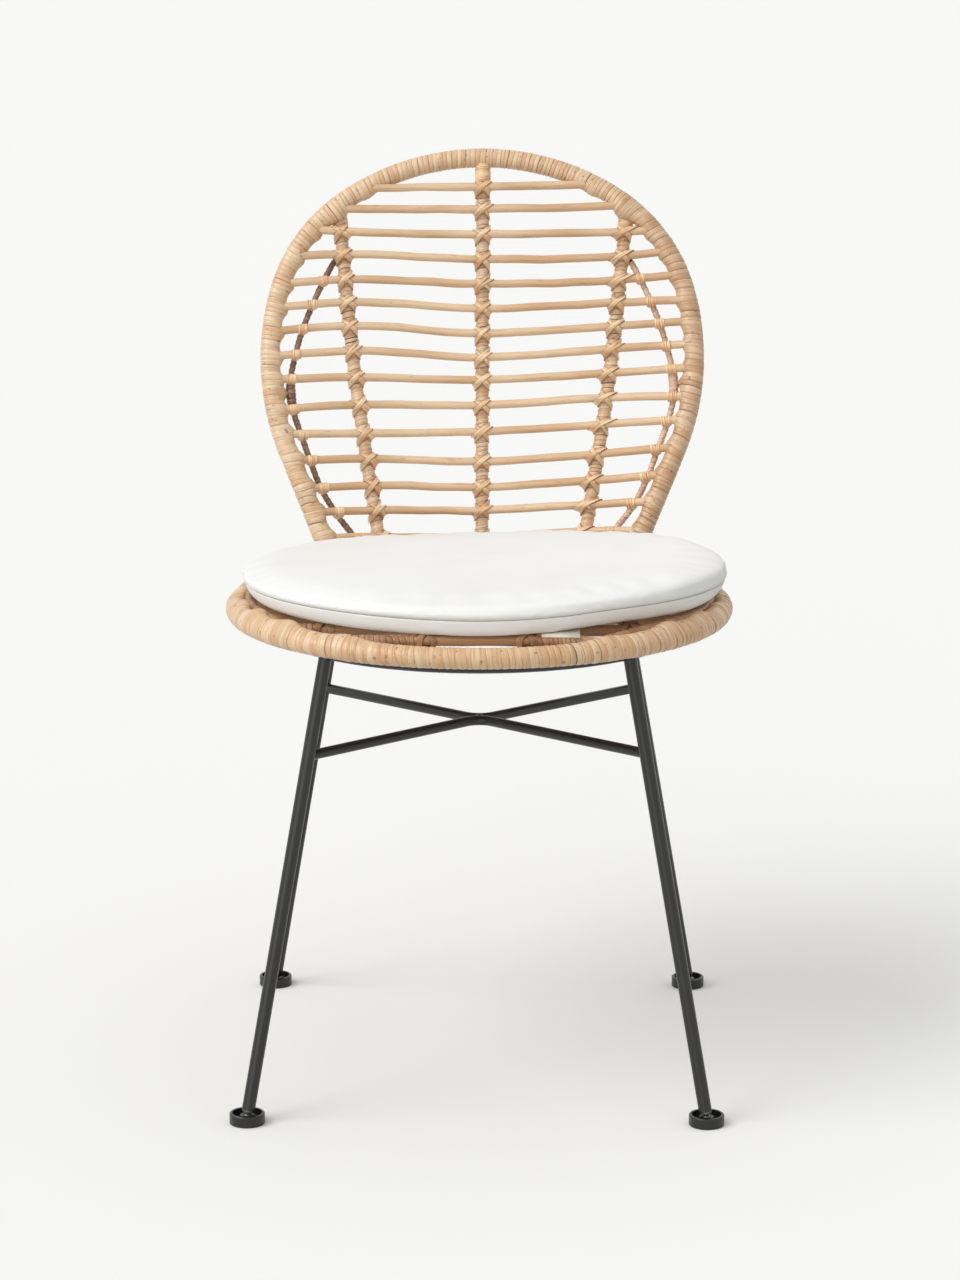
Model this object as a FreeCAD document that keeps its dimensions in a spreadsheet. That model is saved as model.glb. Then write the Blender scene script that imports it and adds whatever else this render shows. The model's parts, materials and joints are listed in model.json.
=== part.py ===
"""Rattan side chair: a bound seat ring and hoop back on a black rod base, with a round cushion.

Millimetres and degrees. -Y is the front, +X is on the right seen from the front, +Z is up.
The origin is on the floor under the middle of the chair's box.
"""

import FreeCAD, Part
import math
import os
import Sketcher
from FreeCAD import Placement, Rotation, Vector

os.makedirs("parts", exist_ok=True)
doc = FreeCAD.newDocument("rattan_chair")
sheet = doc.addObject("Spreadsheet::Sheet", "Sizes")

SIZES = [
    ("seat_height", 434, "floor to the middle of the seat ring"),
    ("seat_ring_radius", 225.5, "seat ring centre line"),
    ("ring_tube", 7.5, "outer radius of the seat ring's tube"),
    ("hoop_tube", 7, "outer radius of the hoop's tube"),
    ("tube_wall", 1.2, "wall of both tubes"),
    ("binding", 2, "thickness of the strip wound on the ring and the uprights"),
    ("fit_gap", 0.15, "room between a core and the strip wound on it"),
    ("upright_rod", 5, "radius of an upright's steel rod"),
    ("side_rib_rod", 2.5, "radius of a side rib's steel rod"),
    ("side_rib_binding", 1.5, "thickness of the strip on a side rib"),
    ("cane", 4.7, "radius of a cane"),
    ("cane_gap", 0.12, "room between a cane and what it lies on"),
    ("seat_rib_rod", 3, "radius of a seat rib's steel rod"),
    ("seat_rib_inner", 44.5, "inner seat ribs, out from the middle"),
    ("seat_rib_outer", 136, "outer seat ribs, out from the middle"),
    ("seat_cane_pitch", 48, "from one seat cane to the next"),
    ("seat_cane_count", 9, "canes across the seat"),
    ("seat_cane_height", 8, "seat canes above the middle of the ring"),
    ("seat_cane_reach", 218, "seat cane ends, out from the middle of the seat"),
    ("back_lean", 16, "lean of the middle upright"),
    ("hoop_length", 414.5, "seat ring to the top of the hoop, along the hoop"),
    ("hoop_top_radius", 235, "bend of the top of the hoop"),
    ("hoop_shoulder_radius", 166, "bend of the hoop's shoulders"),
    ("hoop_side_radius", 256, "bend of the hoop's sides"),
    ("hoop_top_turn", 35, "where the top bend ends"),
    ("hoop_shoulder_turn", 75, "where the shoulder bend ends"),
    ("hoop_side_turn", 112.2, "where the side bend ends and the straight foot starts"),
    ("upright_foot", 97, "side uprights on the seat ring, out from the middle"),
    ("upright_middle", 125, "side uprights at mid height, out from the middle"),
    ("upright_middle_height", 175, "where that is measured"),
    ("upright_top", 143, "side uprights at the hoop, out from the middle"),
    ("upright_top_setback", 3, "top of a side upright behind the hoop's centre line"),
    ("cane_setback", 3.5, "cane ends in front of the hoop's centre line"),
    ("side_rib_foot", 113, "side ribs on the seat ring, out from the middle"),
    ("rib_tie_left", 159, "height of the tie from the left rib to the hoop"),
    ("rib_tie_right", 170, "height of the tie from the right rib to the hoop"),
    ("strip_width", 6.5, "strip in a lashing"),
    ("strip_reach", 9.5, "a lashing's strip, out from the crossing"),
    ("thin_strip_width", 4.5, "strip in a side rib's lashing"),
    ("thin_strip_reach", 8, "a side rib lashing's strip, out from the crossing"),
    ("strip_thickness", 1.6, "strip in a lashing"),
    ("wrap_length", 5.5, "wraps where rods meet the hoop"),
    ("lashing_gap", 0.3, "room between a lashing and what it holds"),
    ("base_ring_radius", 192, "base ring centre line"),
    ("base_ring_rod", 6, "radius of the base ring's rod"),
    ("base_ring_height", 419, "floor to the middle of the base ring"),
    ("foot_spread", 208, "foot centres, out from the middle both ways"),
    ("leg_tube", 6, "outer radius of a leg"),
    ("leg_wall", 1.5, "wall of a leg"),
    ("brace_rod", 4, "radius of a brace"),
    ("brace_front_height", 331, "front brace at the legs"),
    ("brace_rear_height", 319, "rear brace at the legs"),
    ("brace_middle_height", 325, "both braces where they meet"),
    ("brace_bend", 16, "bend of a brace at the middle"),
    ("glide_radius", 16, "a glide's widest radius"),
    ("glide_height", 10, "a glide from the floor to its rim"),
    ("glide_foot_radius", 15.2, "a glide where it stands"),
    ("glide_edge", 0.8, "chamfer under a glide"),
    ("glide_rim_radius", 13.4, "inside of a glide's rim"),
    ("glide_dish_height", 4.6, "floor of the dish in a glide"),
    ("glide_hub_radius", 6.6, "hub of a glide"),
    ("glide_hub_height", 7.8, "top of a glide's hub"),
    ("ball_radius", 4, "ball on the stud in a leg's end"),
    ("ball_height", 6, "floor to the middle of the ball"),
    ("ball_clearance", 0.08, "room round the ball in its socket"),
    ("neck_radius", 2.5, "neck between ball and collar"),
    ("collar_start", 4.6, "ball middle to collar, along the leg"),
    ("collar_height", 1.6, "collar under a leg's end"),
    ("collar_radius", 5.6, "collar under a leg's end"),
    ("plug_length", 14, "plug of the stud in the leg"),
    ("plug_gap", 0.05, "room round the plug in the leg"),
    ("tab_width", 18, "mounting tab"),
    ("tab_length", 41, "mounting tab, inwards from the base ring's rod"),
    ("tab_thickness", 3, "mounting tab"),
    ("bolt_radius", 3, "bolt"),
    ("bolt_length", 9, "bolt under its head"),
    ("bolt_clearance", 0.4, "room round the bolt in a tab"),
    ("bolt_head_radius", 5.5, "dome head of the bolt"),
    ("bolt_head_height", 3.3, "dome head of the bolt"),
    ("hex_socket", 2, "hex socket, half its width across flats"),
    ("hex_depth", 2, "hex socket"),
    ("boss_radius", 6.5, "threaded boss welded to an outer seat rib"),
    ("thread_gap", 0.05, "room round the bolt in a boss"),
    ("cushion_width", 448, "cushion from side to side"),
    ("cushion_depth", 424, "cushion from front to back"),
    ("cushion_offset", 4, "cushion's middle to the right of the chair's"),
    ("cushion_forward", 6, "cushion's middle in front of the seat's"),
    ("cushion_gap", 2.3, "room between the seat canes and the cushion"),
    ("cushion_seam", 14, "cushion's base to its seam"),
    ("cushion_crown", 26, "cushion's base to the top of its crown"),
    ("cover_cloth", 1.2, "thickness of the cover"),
    ("cover_gap", 0.2, "room between cover and foam"),
    ("strap_thickness", 1.4, "cushion straps"),
    ("strap_gap", 0.3, "room inside a strap"),
    ("front_strap_width", 28, "strap round the first seat cane"),
    ("front_strap_across", 69, "its middle, out from the middle"),
    ("hoop_strap_width", 12, "strap round the right foot of the hoop"),
    ("hoop_strap_height", 24, "its middle, along the hoop from the seat ring"),
]

# Each back cane: its height on the middle upright, then its rise at the hoop on the left, at the
# left upright, at the right upright and at the hoop on the right.
BACK_CANES = [
    (367.0, -1, None, None, 3),
    (344.5, 1, None, None, 5),
    (319.5, 4, 3, 3, 4),
    (294.5, 2, 4, 3, 8),
    (270.0, -1, 3, 3, 9),
    (245.5, -1, 5, 5, 8),
    (221.0, -1, 6, 6.5, 11),
    (197.0, -2, 5, 7.5, 12),
    (174.5, -2, 1, 6, 11),
    (149.5, -8, -1, 6.5, 7),
    (123.5, -6, -4, 5.5, 10),
    (94.0, -2, 0, 5.5, 12),
    (68.5, -5, -1, 4.5, 10),
    (45.5, -6, -3, 3, 6),
    (21.5, -5, -3, 3, 5),
]
SHORT_CANES = 2
FIRST_CANE_ON_RIBS = 4

# The side ribs: height up the back and distance from the middle.
SIDE_RIB = [(23, 125), (59, 151), (106, 170.5), (160, 187), (212, 180), (260, 163), (297, 145)]

for row, (alias, value, meaning) in enumerate(SIZES, start=1):
    sheet.set(f"A{row}", alias)
    sheet.set(f"B{row}", str(value))
    sheet.set(f"C{row}", meaning)
    sheet.setAlias(f"B{row}", alias)
doc.recompute()


def size(alias):
    return float(sheet.get(alias))


subparts = {}


def keep(name, obj):
    """Files an object as the sub-part of that name."""
    obj.Label = name
    subparts[name] = obj
    return obj


def feature(name, shape):
    obj = doc.addObject("Part::Feature", name)
    obj.Shape = shape
    return obj


# Places shared by the seat and the back.

RING_RADIUS = size("seat_ring_radius")
SEAT_HEIGHT = size("seat_height")
RING_OUTER = size("ring_tube") + size("binding")
UPRIGHT_OUTER = size("upright_rod") + size("binding")
SIDE_RIB_OUTER = size("side_rib_rod") + size("side_rib_binding")
SEAT_RIB_OUTER = size("seat_rib_rod") + size("binding")
CANE = size("cane")
LEAN = math.radians(size("back_lean"))


def hoop_profile():
    """The right half of the hoop in its own plane: arcs from the top, then the foot on the ring."""
    across, along, turned = 0.0, size("hoop_length"), 0.0
    arcs = []
    for radius_name, turn_name in (
        ("hoop_top_radius", "hoop_top_turn"),
        ("hoop_shoulder_radius", "hoop_shoulder_turn"),
        ("hoop_side_radius", "hoop_side_turn"),
    ):
        radius, turn = size(radius_name), math.radians(size(turn_name))
        centre = (across - radius * math.sin(turned), along - radius * math.cos(turned))
        arcs.append((centre, radius, turned, turn))
        across = centre[0] + radius * math.sin(turn)
        along = centre[1] + radius * math.cos(turn)
        turned = turn
    foot = across + along / math.tan(turned)
    return arcs, foot


HOOP_ARCS, HOOP_FOOT = hoop_profile()
HOOP_STEP = RING_RADIUS - math.sqrt(RING_RADIUS**2 - HOOP_FOOT**2)
HOOP_EXTRA_LEAN = math.asin(HOOP_STEP * math.cos(LEAN) / size("hoop_length"))
HOOP_LEAN = LEAN + HOOP_EXTRA_LEAN
HOOP_TOP_BACK = size("hoop_length") * math.sin(HOOP_LEAN) - HOOP_STEP
SEAT_Y = -(RING_RADIUS + HOOP_TOP_BACK - RING_RADIUS) / 2
SEAT_MIDDLE = Vector(0, SEAT_Y, SEAT_HEIGHT)
BACK_START = SEAT_MIDDLE + Vector(0, RING_RADIUS, 0)
UP_BACK = Vector(0, math.sin(LEAN), math.cos(LEAN))
BEHIND = Vector(0, math.cos(LEAN), -math.sin(LEAN))
UP_HOOP = Vector(0, math.sin(HOOP_LEAN), math.cos(HOOP_LEAN))


def on_back(across, height, depth):
    """A point by its distance from the middle, height up the back and depth behind it."""
    return BACK_START + Vector(across, 0, 0) + UP_BACK * height + BEHIND * depth


def back_height(point):
    return (point - BACK_START).dot(UP_BACK)


def on_hoop(across, along):
    return BACK_START - Vector(-across, HOOP_STEP, 0) + UP_HOOP * along


def on_ring(across, back=1):
    return SEAT_MIDDLE + Vector(across, back * math.sqrt(RING_RADIUS**2 - across**2), 0)


def hoop_half_width(height):
    """Half the hoop's width where it passes a height up the back."""
    along = (height + HOOP_STEP * math.sin(LEAN)) / math.cos(HOOP_EXTRA_LEAN)
    for centre, radius, start, end in HOOP_ARCS:
        cosine = (along - centre[1]) / radius
        if math.cos(end) <= cosine <= math.cos(start):
            return centre[0] + radius * math.sin(math.acos(cosine))
    return HOOP_FOOT - along / math.tan(HOOP_ARCS[-1][3])


def hoop_depth(height):
    rise = height + HOOP_STEP * math.sin(LEAN)
    return rise * math.tan(HOOP_EXTRA_LEAN) - HOOP_STEP * math.cos(LEAN)


def hoop_at(across):
    """The point on the hoop's upper half at a distance from the middle."""
    for centre, radius, start, end in HOOP_ARCS:
        sine = (abs(across) - centre[0]) / radius
        if math.sin(start) <= sine <= math.sin(end):
            return on_hoop(across, centre[1] + radius * math.cos(math.asin(sine)))
    raise ValueError("the hoop is narrower than that")


CANE_BOW = UPRIGHT_OUTER + CANE + size("cane_gap") - size("cane_setback")


def shell_depth(across, height):
    """Depth of the rails' centre lines: the back wraps forward to the hoop at its sides."""
    share = across / hoop_half_width(height)
    return (hoop_depth(height) + CANE_BOW) * share**2


# Curves.


def arc(first, middle, last):
    return Part.Arc(first, middle, last).toShape()


def line(first, last):
    return Part.LineSegment(first, last).toShape()


def arc_from(start, direction, end):
    """The arc that leaves start in a direction and reaches end."""
    chord = end - start
    straight = direction.normalize()
    sideways = chord - straight * chord.dot(straight)
    if sideways.Length < 1e-3:
        return line(start, end)
    radius = chord.Length**2 / (2 * sideways.Length)
    outward = sideways * (1 / sideways.Length)
    centre = start + outward * radius
    half = math.asin(min(1.0, chord.Length / (2 * radius)))
    middle = centre - outward * (radius * math.cos(half)) + straight * (radius * math.sin(half))
    return arc(start, middle, end)


def biarc(start, start_way, end, end_way):
    """Two arcs that join two points and keep a given direction at each."""
    chord = end - start
    ways = start_way + end_way
    spread = 2 * (1 - start_way.dot(end_way))
    reach = chord.dot(ways)
    if spread < 1e-9:
        length = chord.Length / 2
    else:
        length = (-reach + math.sqrt(reach**2 + spread * chord.dot(chord))) / spread
    joint = (start + end) * 0.5 + (start_way - end_way) * (length / 2)
    first = arc_from(start, Vector(start_way), joint)
    second = arc_from(end, Vector(end_way) * -1, joint)
    return first, Part.Edge(second.Curve, second.FirstParameter, second.LastParameter)


def smooth_path(points, first_way=None, last_way=None):
    """A path of arcs through the points, tangent where they join."""
    ways = []
    for before, here, after in zip(points, points[1:], points[2:]):
        into, out = here - before, after - here
        ways.append((into * (1 / into.Length**2) + out * (1 / out.Length**2)).normalize())
    first = first_way or ((points[1] - points[0]).normalize() * 2 - ways[0]).normalize()
    last = last_way or ((points[-1] - points[-2]).normalize() * 2 - ways[-1]).normalize()
    ways = [first] + ways + [last]
    edges = []
    for start, end, start_way, end_way in zip(points, points[1:], ways, ways[1:]):
        edges.extend(biarc(start, start_way, end, end_way))
    return Part.Wire(Part.__sortEdges__(edges))


def bar(path, radius):
    """A round bar along a path that starts at its first vertex."""
    first = path.OrderedEdges[0]
    start, way = path_start(first, path.OrderedVertexes[0].Point)
    circle = Part.Wire(Part.makeCircle(radius, start, way))
    return path.makePipeShell([circle], True, False)


def path_start(edge, point):
    """The start of a path and its direction there."""
    begin = edge.valueAt(edge.FirstParameter)
    if (begin - point).Length < 1e-4:
        return begin, edge.tangentAt(edge.FirstParameter)
    return edge.valueAt(edge.LastParameter), edge.tangentAt(edge.LastParameter) * -1


def straight_bar(start, end, radius):
    return Part.makeCylinder(radius, (end - start).Length, start, end - start)


def mirrored(shape):
    return shape.mirror(Vector(0, 0, 0), Vector(1, 0, 0))


def ring_bar(radius):
    return Part.makeTorus(RING_RADIUS, radius, SEAT_MIDDLE)


# Building blocks with their sizes bound to the sheet.


def torus(name, ring_rule, bar_rule, place):
    obj = doc.addObject("Part::Torus", name)
    obj.setExpression("Radius1", ring_rule)
    obj.setExpression("Radius2", bar_rule)
    obj.Placement = Placement(place, Rotation())
    return obj


def cylinder(name, start, end, radius_rule):
    obj = doc.addObject("Part::Cylinder", name)
    obj.setExpression("Radius", radius_rule)
    obj.Height = (end - start).Length
    obj.Placement = Placement(start, Rotation(Vector(0, 0, 1), end - start))
    return obj


def cut(name, base, tool):
    obj = doc.addObject("Part::Cut", name)
    obj.Base = base
    obj.Tool = tool
    return obj


def compound(name, shapes):
    return keep(name, feature(name, Part.makeCompound(shapes)))


def total(*terms):
    """The sum of some sizes, as a number and as a rule; a minus sign takes a size away."""
    value = sum(-size(term[1:]) if term.startswith("-") else size(term) for term in terms)
    rule = " ".join(f"- Sizes.{term[1:]}" if term.startswith("-") else f"+ Sizes.{term}" for term in terms)
    return value, rule.removeprefix("+ ")


NOTHING = (0.0, "")


def sketch_on(body, name, role):
    sketch = body.newObject("Sketcher::SketchObject", name)
    plane = next(item for item in body.Origin.OriginFeatures if item.Role == role)
    sketch.AttachmentSupport = (plane, [""])
    sketch.MapMode = "FlatFace"
    return sketch


def outline(sketch, corners):
    """A closed outline whose corners are held by rules in the sheet."""
    count = len(corners)
    places = [Vector(across[0], up[0], 0) for across, up in corners]
    for index in range(count):
        sketch.addGeometry(Part.LineSegment(places[index], places[(index + 1) % count]), False)
    for index in range(count):
        after = (index + 1) % count
        sketch.addConstraint(Sketcher.Constraint("Coincident", index, 2, after, 1))
    for index, corner in enumerate(corners):
        for kind, axis, (value, rule) in zip(("DistanceX", "DistanceY"), (-2, -1), corner):
            if not rule:
                sketch.addConstraint(Sketcher.Constraint("PointOnObject", index, 1, axis))
                continue
            held = sketch.addConstraint(Sketcher.Constraint(kind, -1, 1, index, 1, value))
            sketch.setExpression(f"Constraints[{held}]", rule)


def hole(sketch, across, radius):
    """A circle on the first axis of a sketch."""
    index = sketch.addGeometry(Part.Circle(Vector(across[0], 0, 0), Vector(0, 0, 1), radius[0]), False)
    sketch.addConstraint(Sketcher.Constraint("PointOnObject", index, 3, -1))
    held = sketch.addConstraint(Sketcher.Constraint("Radius", index, radius[0]))
    sketch.setExpression(f"Constraints[{held}]", radius[1])
    if across[1]:
        place = sketch.addConstraint(Sketcher.Constraint("DistanceX", -1, 1, index, 3, across[0]))
        sketch.setExpression(f"Constraints[{place}]", across[1])
    else:
        sketch.addConstraint(Sketcher.Constraint("PointOnObject", index, 3, -2))


def turned(name, corners):
    """A body turned about its own upright axis from an outline."""
    body = doc.addObject("PartDesign::Body", name)
    sketch = sketch_on(body, f"{name}_outline", "XZ_Plane")
    outline(sketch, corners)
    revolution = body.newObject("PartDesign::Revolution", f"{name}_turned")
    revolution.Profile = sketch
    revolution.ReferenceAxis = (sketch, ["V_Axis"])
    revolution.Angle = 360
    doc.recompute()
    return body


def padded(name, thickness_rule, draw):
    """A body of one thickness whose outline is drawn on its base plane."""
    body = doc.addObject("PartDesign::Body", name)
    sketch = sketch_on(body, f"{name}_outline", "XY_Plane")
    draw(sketch)
    pad = body.newObject("PartDesign::Pad", f"{name}_pad")
    pad.Profile = sketch
    pad.setExpression("Length", thickness_rule)
    doc.recompute()
    return body


# The black base.

BASE_MIDDLE = Vector(0, SEAT_Y, 0)
LEG_BORE = size("leg_tube") - size("leg_wall")
SIDES = {"left": -1, "right": 1}
ENDS = {"front": -1, "rear": 1}


def leg_ends(across, back):
    spread = size("foot_spread")
    reach = size("base_ring_radius") / math.sqrt(2)
    foot = BASE_MIDDLE + Vector(across * spread, back * spread, 0)
    top = BASE_MIDDLE + Vector(across * reach, back * reach, size("base_ring_height"))
    return foot, top


def ball_place(across, back):
    foot, top = leg_ends(across, back)
    return foot + (top - foot) * (size("ball_height") / size("base_ring_height"))


base_middle_top = BASE_MIDDLE + Vector(0, 0, size("base_ring_height"))
base_ring = keep("base_ring", torus("base_ring", "Sizes.base_ring_radius", "Sizes.base_ring_rod", base_middle_top))
leg_solids = {}
for end_name, back in ENDS.items():
    for side_name, across in SIDES.items():
        name = f"leg_{end_name}_{side_name}"
        ball, (foot, top) = ball_place(across, back), leg_ends(across, back)
        start = ball + (top - ball).normalize() * (size("collar_start") + size("collar_height"))
        tube = cylinder(f"{name}_tube", start, top, "Sizes.leg_tube")
        bore = cylinder(f"{name}_bore", start, top, "Sizes.leg_tube - Sizes.leg_wall")
        leg = cut(name, cut(f"{name}_hollow", tube, bore), base_ring)
        keep(name, leg)
        leg_solids[across, back] = straight_bar(start, top, size("leg_tube"))


def brace_path(back, height_name):
    """A bent rod from leg to leg that touches the other brace in the middle."""
    foot, top = leg_ends(1, back)
    right = foot + (top - foot) * (size(height_name) / size("base_ring_height"))
    left = Vector(-right.x, right.y, right.z)
    middle = BASE_MIDDLE + Vector(0, back * size("brace_rod"), size("brace_middle_height"))
    towards = (right + left) * 0.5 - middle
    radius, depth = size("brace_bend"), towards.Length
    towards.normalize()
    angle = math.atan2(depth - radius, right.x) - math.acos(radius / math.hypot(right.x, depth - radius))
    centre = middle + towards * radius
    offset = Vector(radius * math.cos(angle), 0, 0)
    bend_right = centre + offset + towards * (radius * math.sin(angle))
    bend_left = centre - offset + towards * (radius * math.sin(angle))
    return Part.Wire([line(left, bend_left), arc(bend_left, middle, bend_right), line(bend_right, right)])


brace_bars = []
for end_name, back in ENDS.items():
    rod = bar(brace_path(back, f"brace_{end_name}_height"), size("brace_rod"))
    rod = rod.cut([leg_solids[-1, back], leg_solids[1, back]])
    keep(f"brace_{end_name}", feature(f"brace_{end_name}", rod))
    brace_bars.append(rod)
crossing = BASE_MIDDLE + Vector(0, 0, size("brace_middle_height"))
weld = Part.makeSphere(size("brace_rod") * 1.3, crossing).cut(brace_bars)
keep("brace_weld", feature("brace_weld", weld))

# Glides and the ball studs that they tilt on.

stud_rod = turned(
    "stud_rod",
    [
        (NOTHING, NOTHING),
        (total("neck_radius"), NOTHING),
        (total("neck_radius"), total("collar_start")),
        (total("collar_radius"), total("collar_start")),
        (total("collar_radius"), total("collar_start", "collar_height")),
        (total("leg_tube", "-leg_wall", "-plug_gap"), total("collar_start", "collar_height")),
        (total("leg_tube", "-leg_wall", "-plug_gap"), total("collar_start", "collar_height", "plug_length")),
        (NOTHING, total("collar_start", "collar_height", "plug_length")),
    ],
)
stud_ball = doc.addObject("Part::Sphere", "stud_ball")
stud_ball.setExpression("Radius", "Sizes.ball_radius")
stud = doc.addObject("Part::Fuse", "stud")
stud.Base = stud_rod
stud.Tool = stud_ball
doc.recompute()

studs = []
for end_name, back in ENDS.items():
    for side_name, across in SIDES.items():
        ball, (foot, top) = ball_place(across, back), leg_ends(across, back)
        copy = stud.Shape.copy()
        copy.Placement = Placement(ball, Rotation(Vector(0, 0, 1), top - foot))
        studs.append(copy)
        name = f"glide_{end_name}_{side_name}"
        disc = turned(
            f"{name}_disc",
            [
                (NOTHING, NOTHING),
                (total("glide_foot_radius"), NOTHING),
                (total("glide_radius"), total("glide_edge")),
                (total("glide_radius"), total("glide_height", "-glide_edge")),
                (total("glide_radius", "-glide_edge"), total("glide_height")),
                (total("glide_rim_radius"), total("glide_height")),
                (total("glide_rim_radius"), total("glide_dish_height")),
                (total("glide_hub_radius"), total("glide_dish_height")),
                (total("glide_hub_radius"), total("glide_hub_height")),
                (NOTHING, total("glide_hub_height")),
            ],
        )
        socket = doc.addObject("Part::Sphere", f"{name}_socket")
        socket.setExpression("Radius", "Sizes.ball_radius + Sizes.ball_clearance")
        socket.setExpression("Placement.Base.z", "Sizes.ball_height")
        glide = cut(name, disc, socket)
        glide.Placement = Placement(Vector(ball.x, ball.y, 0), Rotation())
        keep(name, glide)
compound("glide_studs", studs)

# Seat.

SEAT_RIB_HEIGHT = SEAT_HEIGHT + size("seat_cane_height") - CANE - size("cane_gap") - SEAT_RIB_OUTER
SEAT_RIBS = [-size("seat_rib_outer"), -size("seat_rib_inner"), size("seat_rib_inner"), size("seat_rib_outer")]
BOLT_AHEAD = 1.5 * size("seat_cane_pitch")


def seat_rib_ends(across):
    reach = math.sqrt(RING_RADIUS**2 - across**2)
    return [Vector(across, SEAT_Y + back * reach, SEAT_RIB_HEIGHT) for back in (-1, 1)]


seat_core = torus("seat_ring_tube", "Sizes.seat_ring_radius", "Sizes.ring_tube", SEAT_MIDDLE)
seat_bore = torus("seat_ring_bore", "Sizes.seat_ring_radius", "Sizes.ring_tube - Sizes.tube_wall", SEAT_MIDDLE)
vent_top = SEAT_MIDDLE + Vector(0, -RING_RADIUS, 0)
vent = cylinder("seat_ring_vent", vent_top - Vector(0, 0, 2 * size("ring_tube")), vent_top, "Sizes.tube_wall")
keep("seat_ring_core", cut("seat_ring_core", cut("seat_ring_hollow", seat_core, seat_bore), vent))

core_ring = ring_bar(size("ring_tube"))
outer_ring = ring_bar(RING_OUTER + size("cane_gap"))
rib_rods = [straight_bar(*seat_rib_ends(across), size("seat_rib_rod")).cut(core_ring) for across in SEAT_RIBS]
compound("seat_rib_rods", rib_rods)

bolt_places = [
    Vector(across * size("seat_rib_outer"), SEAT_Y + back * BOLT_AHEAD, 0)
    for across in (-1, 1)
    for back in (-1, 1)
]
TAB_TOP = size("base_ring_height") + size("tab_thickness") / 2


def boss_bar(place, extra):
    height = SEAT_RIB_HEIGHT - TAB_TOP
    return Part.makeCylinder(size("boss_radius") + extra, height, place + Vector(0, 0, TAB_TOP))


rib_bindings = []
for across in SEAT_RIBS:
    ends = seat_rib_ends(across)
    sleeve = straight_bar(*ends, SEAT_RIB_OUTER)
    tools = [straight_bar(*ends, size("seat_rib_rod") + size("fit_gap")), outer_ring]
    tools += [boss_bar(place, size("fit_gap")) for place in bolt_places if abs(place.x - across) < 1]
    rib_bindings += sleeve.cut(tools).Solids
compound("seat_rib_bindings", rib_bindings)

seat_canes = []
cane_rows = []
for index in range(int(size("seat_cane_count"))):
    ahead = (index - (size("seat_cane_count") - 1) / 2) * size("seat_cane_pitch")
    reach = math.sqrt(size("seat_cane_reach") ** 2 - ahead**2)
    middle = SEAT_MIDDLE + Vector(0, ahead, size("seat_cane_height"))
    cane_rows.append((middle, reach))
    cane = straight_bar(middle - Vector(reach, 0, 0), middle + Vector(reach, 0, 0), CANE)
    seat_canes.append(cane.cut(outer_ring))
compound("seat_canes", seat_canes)


# Fixing of the seat on the base.


def draw_tab(sketch):
    half = total("tab_width")[0] / 2
    inner = total("base_ring_radius", "-base_ring_rod", "-tab_length")
    outer = total("base_ring_radius")
    edge = (half, "Sizes.tab_width / 2")
    low = (-half, "-Sizes.tab_width / 2")
    outline(sketch, [(inner, low), (outer, low), (outer, edge), (inner, edge)])
    bolt = math.hypot(size("seat_rib_outer"), BOLT_AHEAD)
    rule = "sqrt(Sizes.seat_rib_outer ^ 2 + (1.5 * Sizes.seat_cane_pitch) ^ 2)"
    hole(sketch, (bolt, rule), total("bolt_radius", "bolt_clearance"))


def draw_boss(sketch):
    radius = total("boss_radius")
    hole(sketch, NOTHING, radius)
    hole(sketch, NOTHING, total("bolt_radius", "thread_gap"))


tab = padded("tab", "Sizes.tab_thickness", draw_tab)
boss_height = SEAT_RIB_HEIGHT - TAB_TOP
boss = padded("boss", f"{boss_height}", draw_boss)
bolt_body = turned(
    "bolt",
    [
        (NOTHING, NOTHING),
        (total("bolt_head_radius", "-hex_depth"), NOTHING),
        (total("bolt_head_radius"), total("bolt_head_height", "-bolt_clearance")),
        (total("bolt_head_radius"), total("bolt_head_height")),
        (total("bolt_radius"), total("bolt_head_height")),
        (total("bolt_radius"), total("bolt_head_height", "bolt_length")),
        (NOTHING, total("bolt_head_height", "bolt_length")),
    ],
)
hex_hole = doc.addObject("Part::Prism", "hex_hole")
hex_hole.Polygon = 6
hex_hole.setExpression("Circumradius", "Sizes.hex_socket * 2 / sqrt(3)")
hex_hole.setExpression("Height", "Sizes.hex_depth")
bolt = cut("bolt_with_socket", bolt_body, hex_hole)
doc.recompute()

tabs, bosses, bolts = [], [], []
base_bar = base_ring.Shape
for place in bolt_places:
    out = place - BASE_MIDDLE
    turn = Rotation(Vector(0, 0, 1), math.degrees(math.atan2(out.y, out.x)))
    copy = tab.Shape.copy()
    copy.Placement = Placement(BASE_MIDDLE + Vector(0, 0, TAB_TOP - size("tab_thickness")), turn)
    tabs.append(copy.cut(base_bar))
    copy = boss.Shape.copy()
    copy.Placement = Placement(place + Vector(0, 0, TAB_TOP), Rotation())
    bosses.append(copy.cut(rib_rods))
    copy = bolt.Shape.copy()
    head_foot = TAB_TOP - size("tab_thickness") - size("bolt_head_height")
    copy.Placement = Placement(place + Vector(0, 0, head_foot), Rotation())
    bolts.append(copy)
compound("mounting_tabs", tabs)
compound("mounting_bosses", bosses)
compound("mounting_bolts", bolts)

# Hoop.


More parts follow.
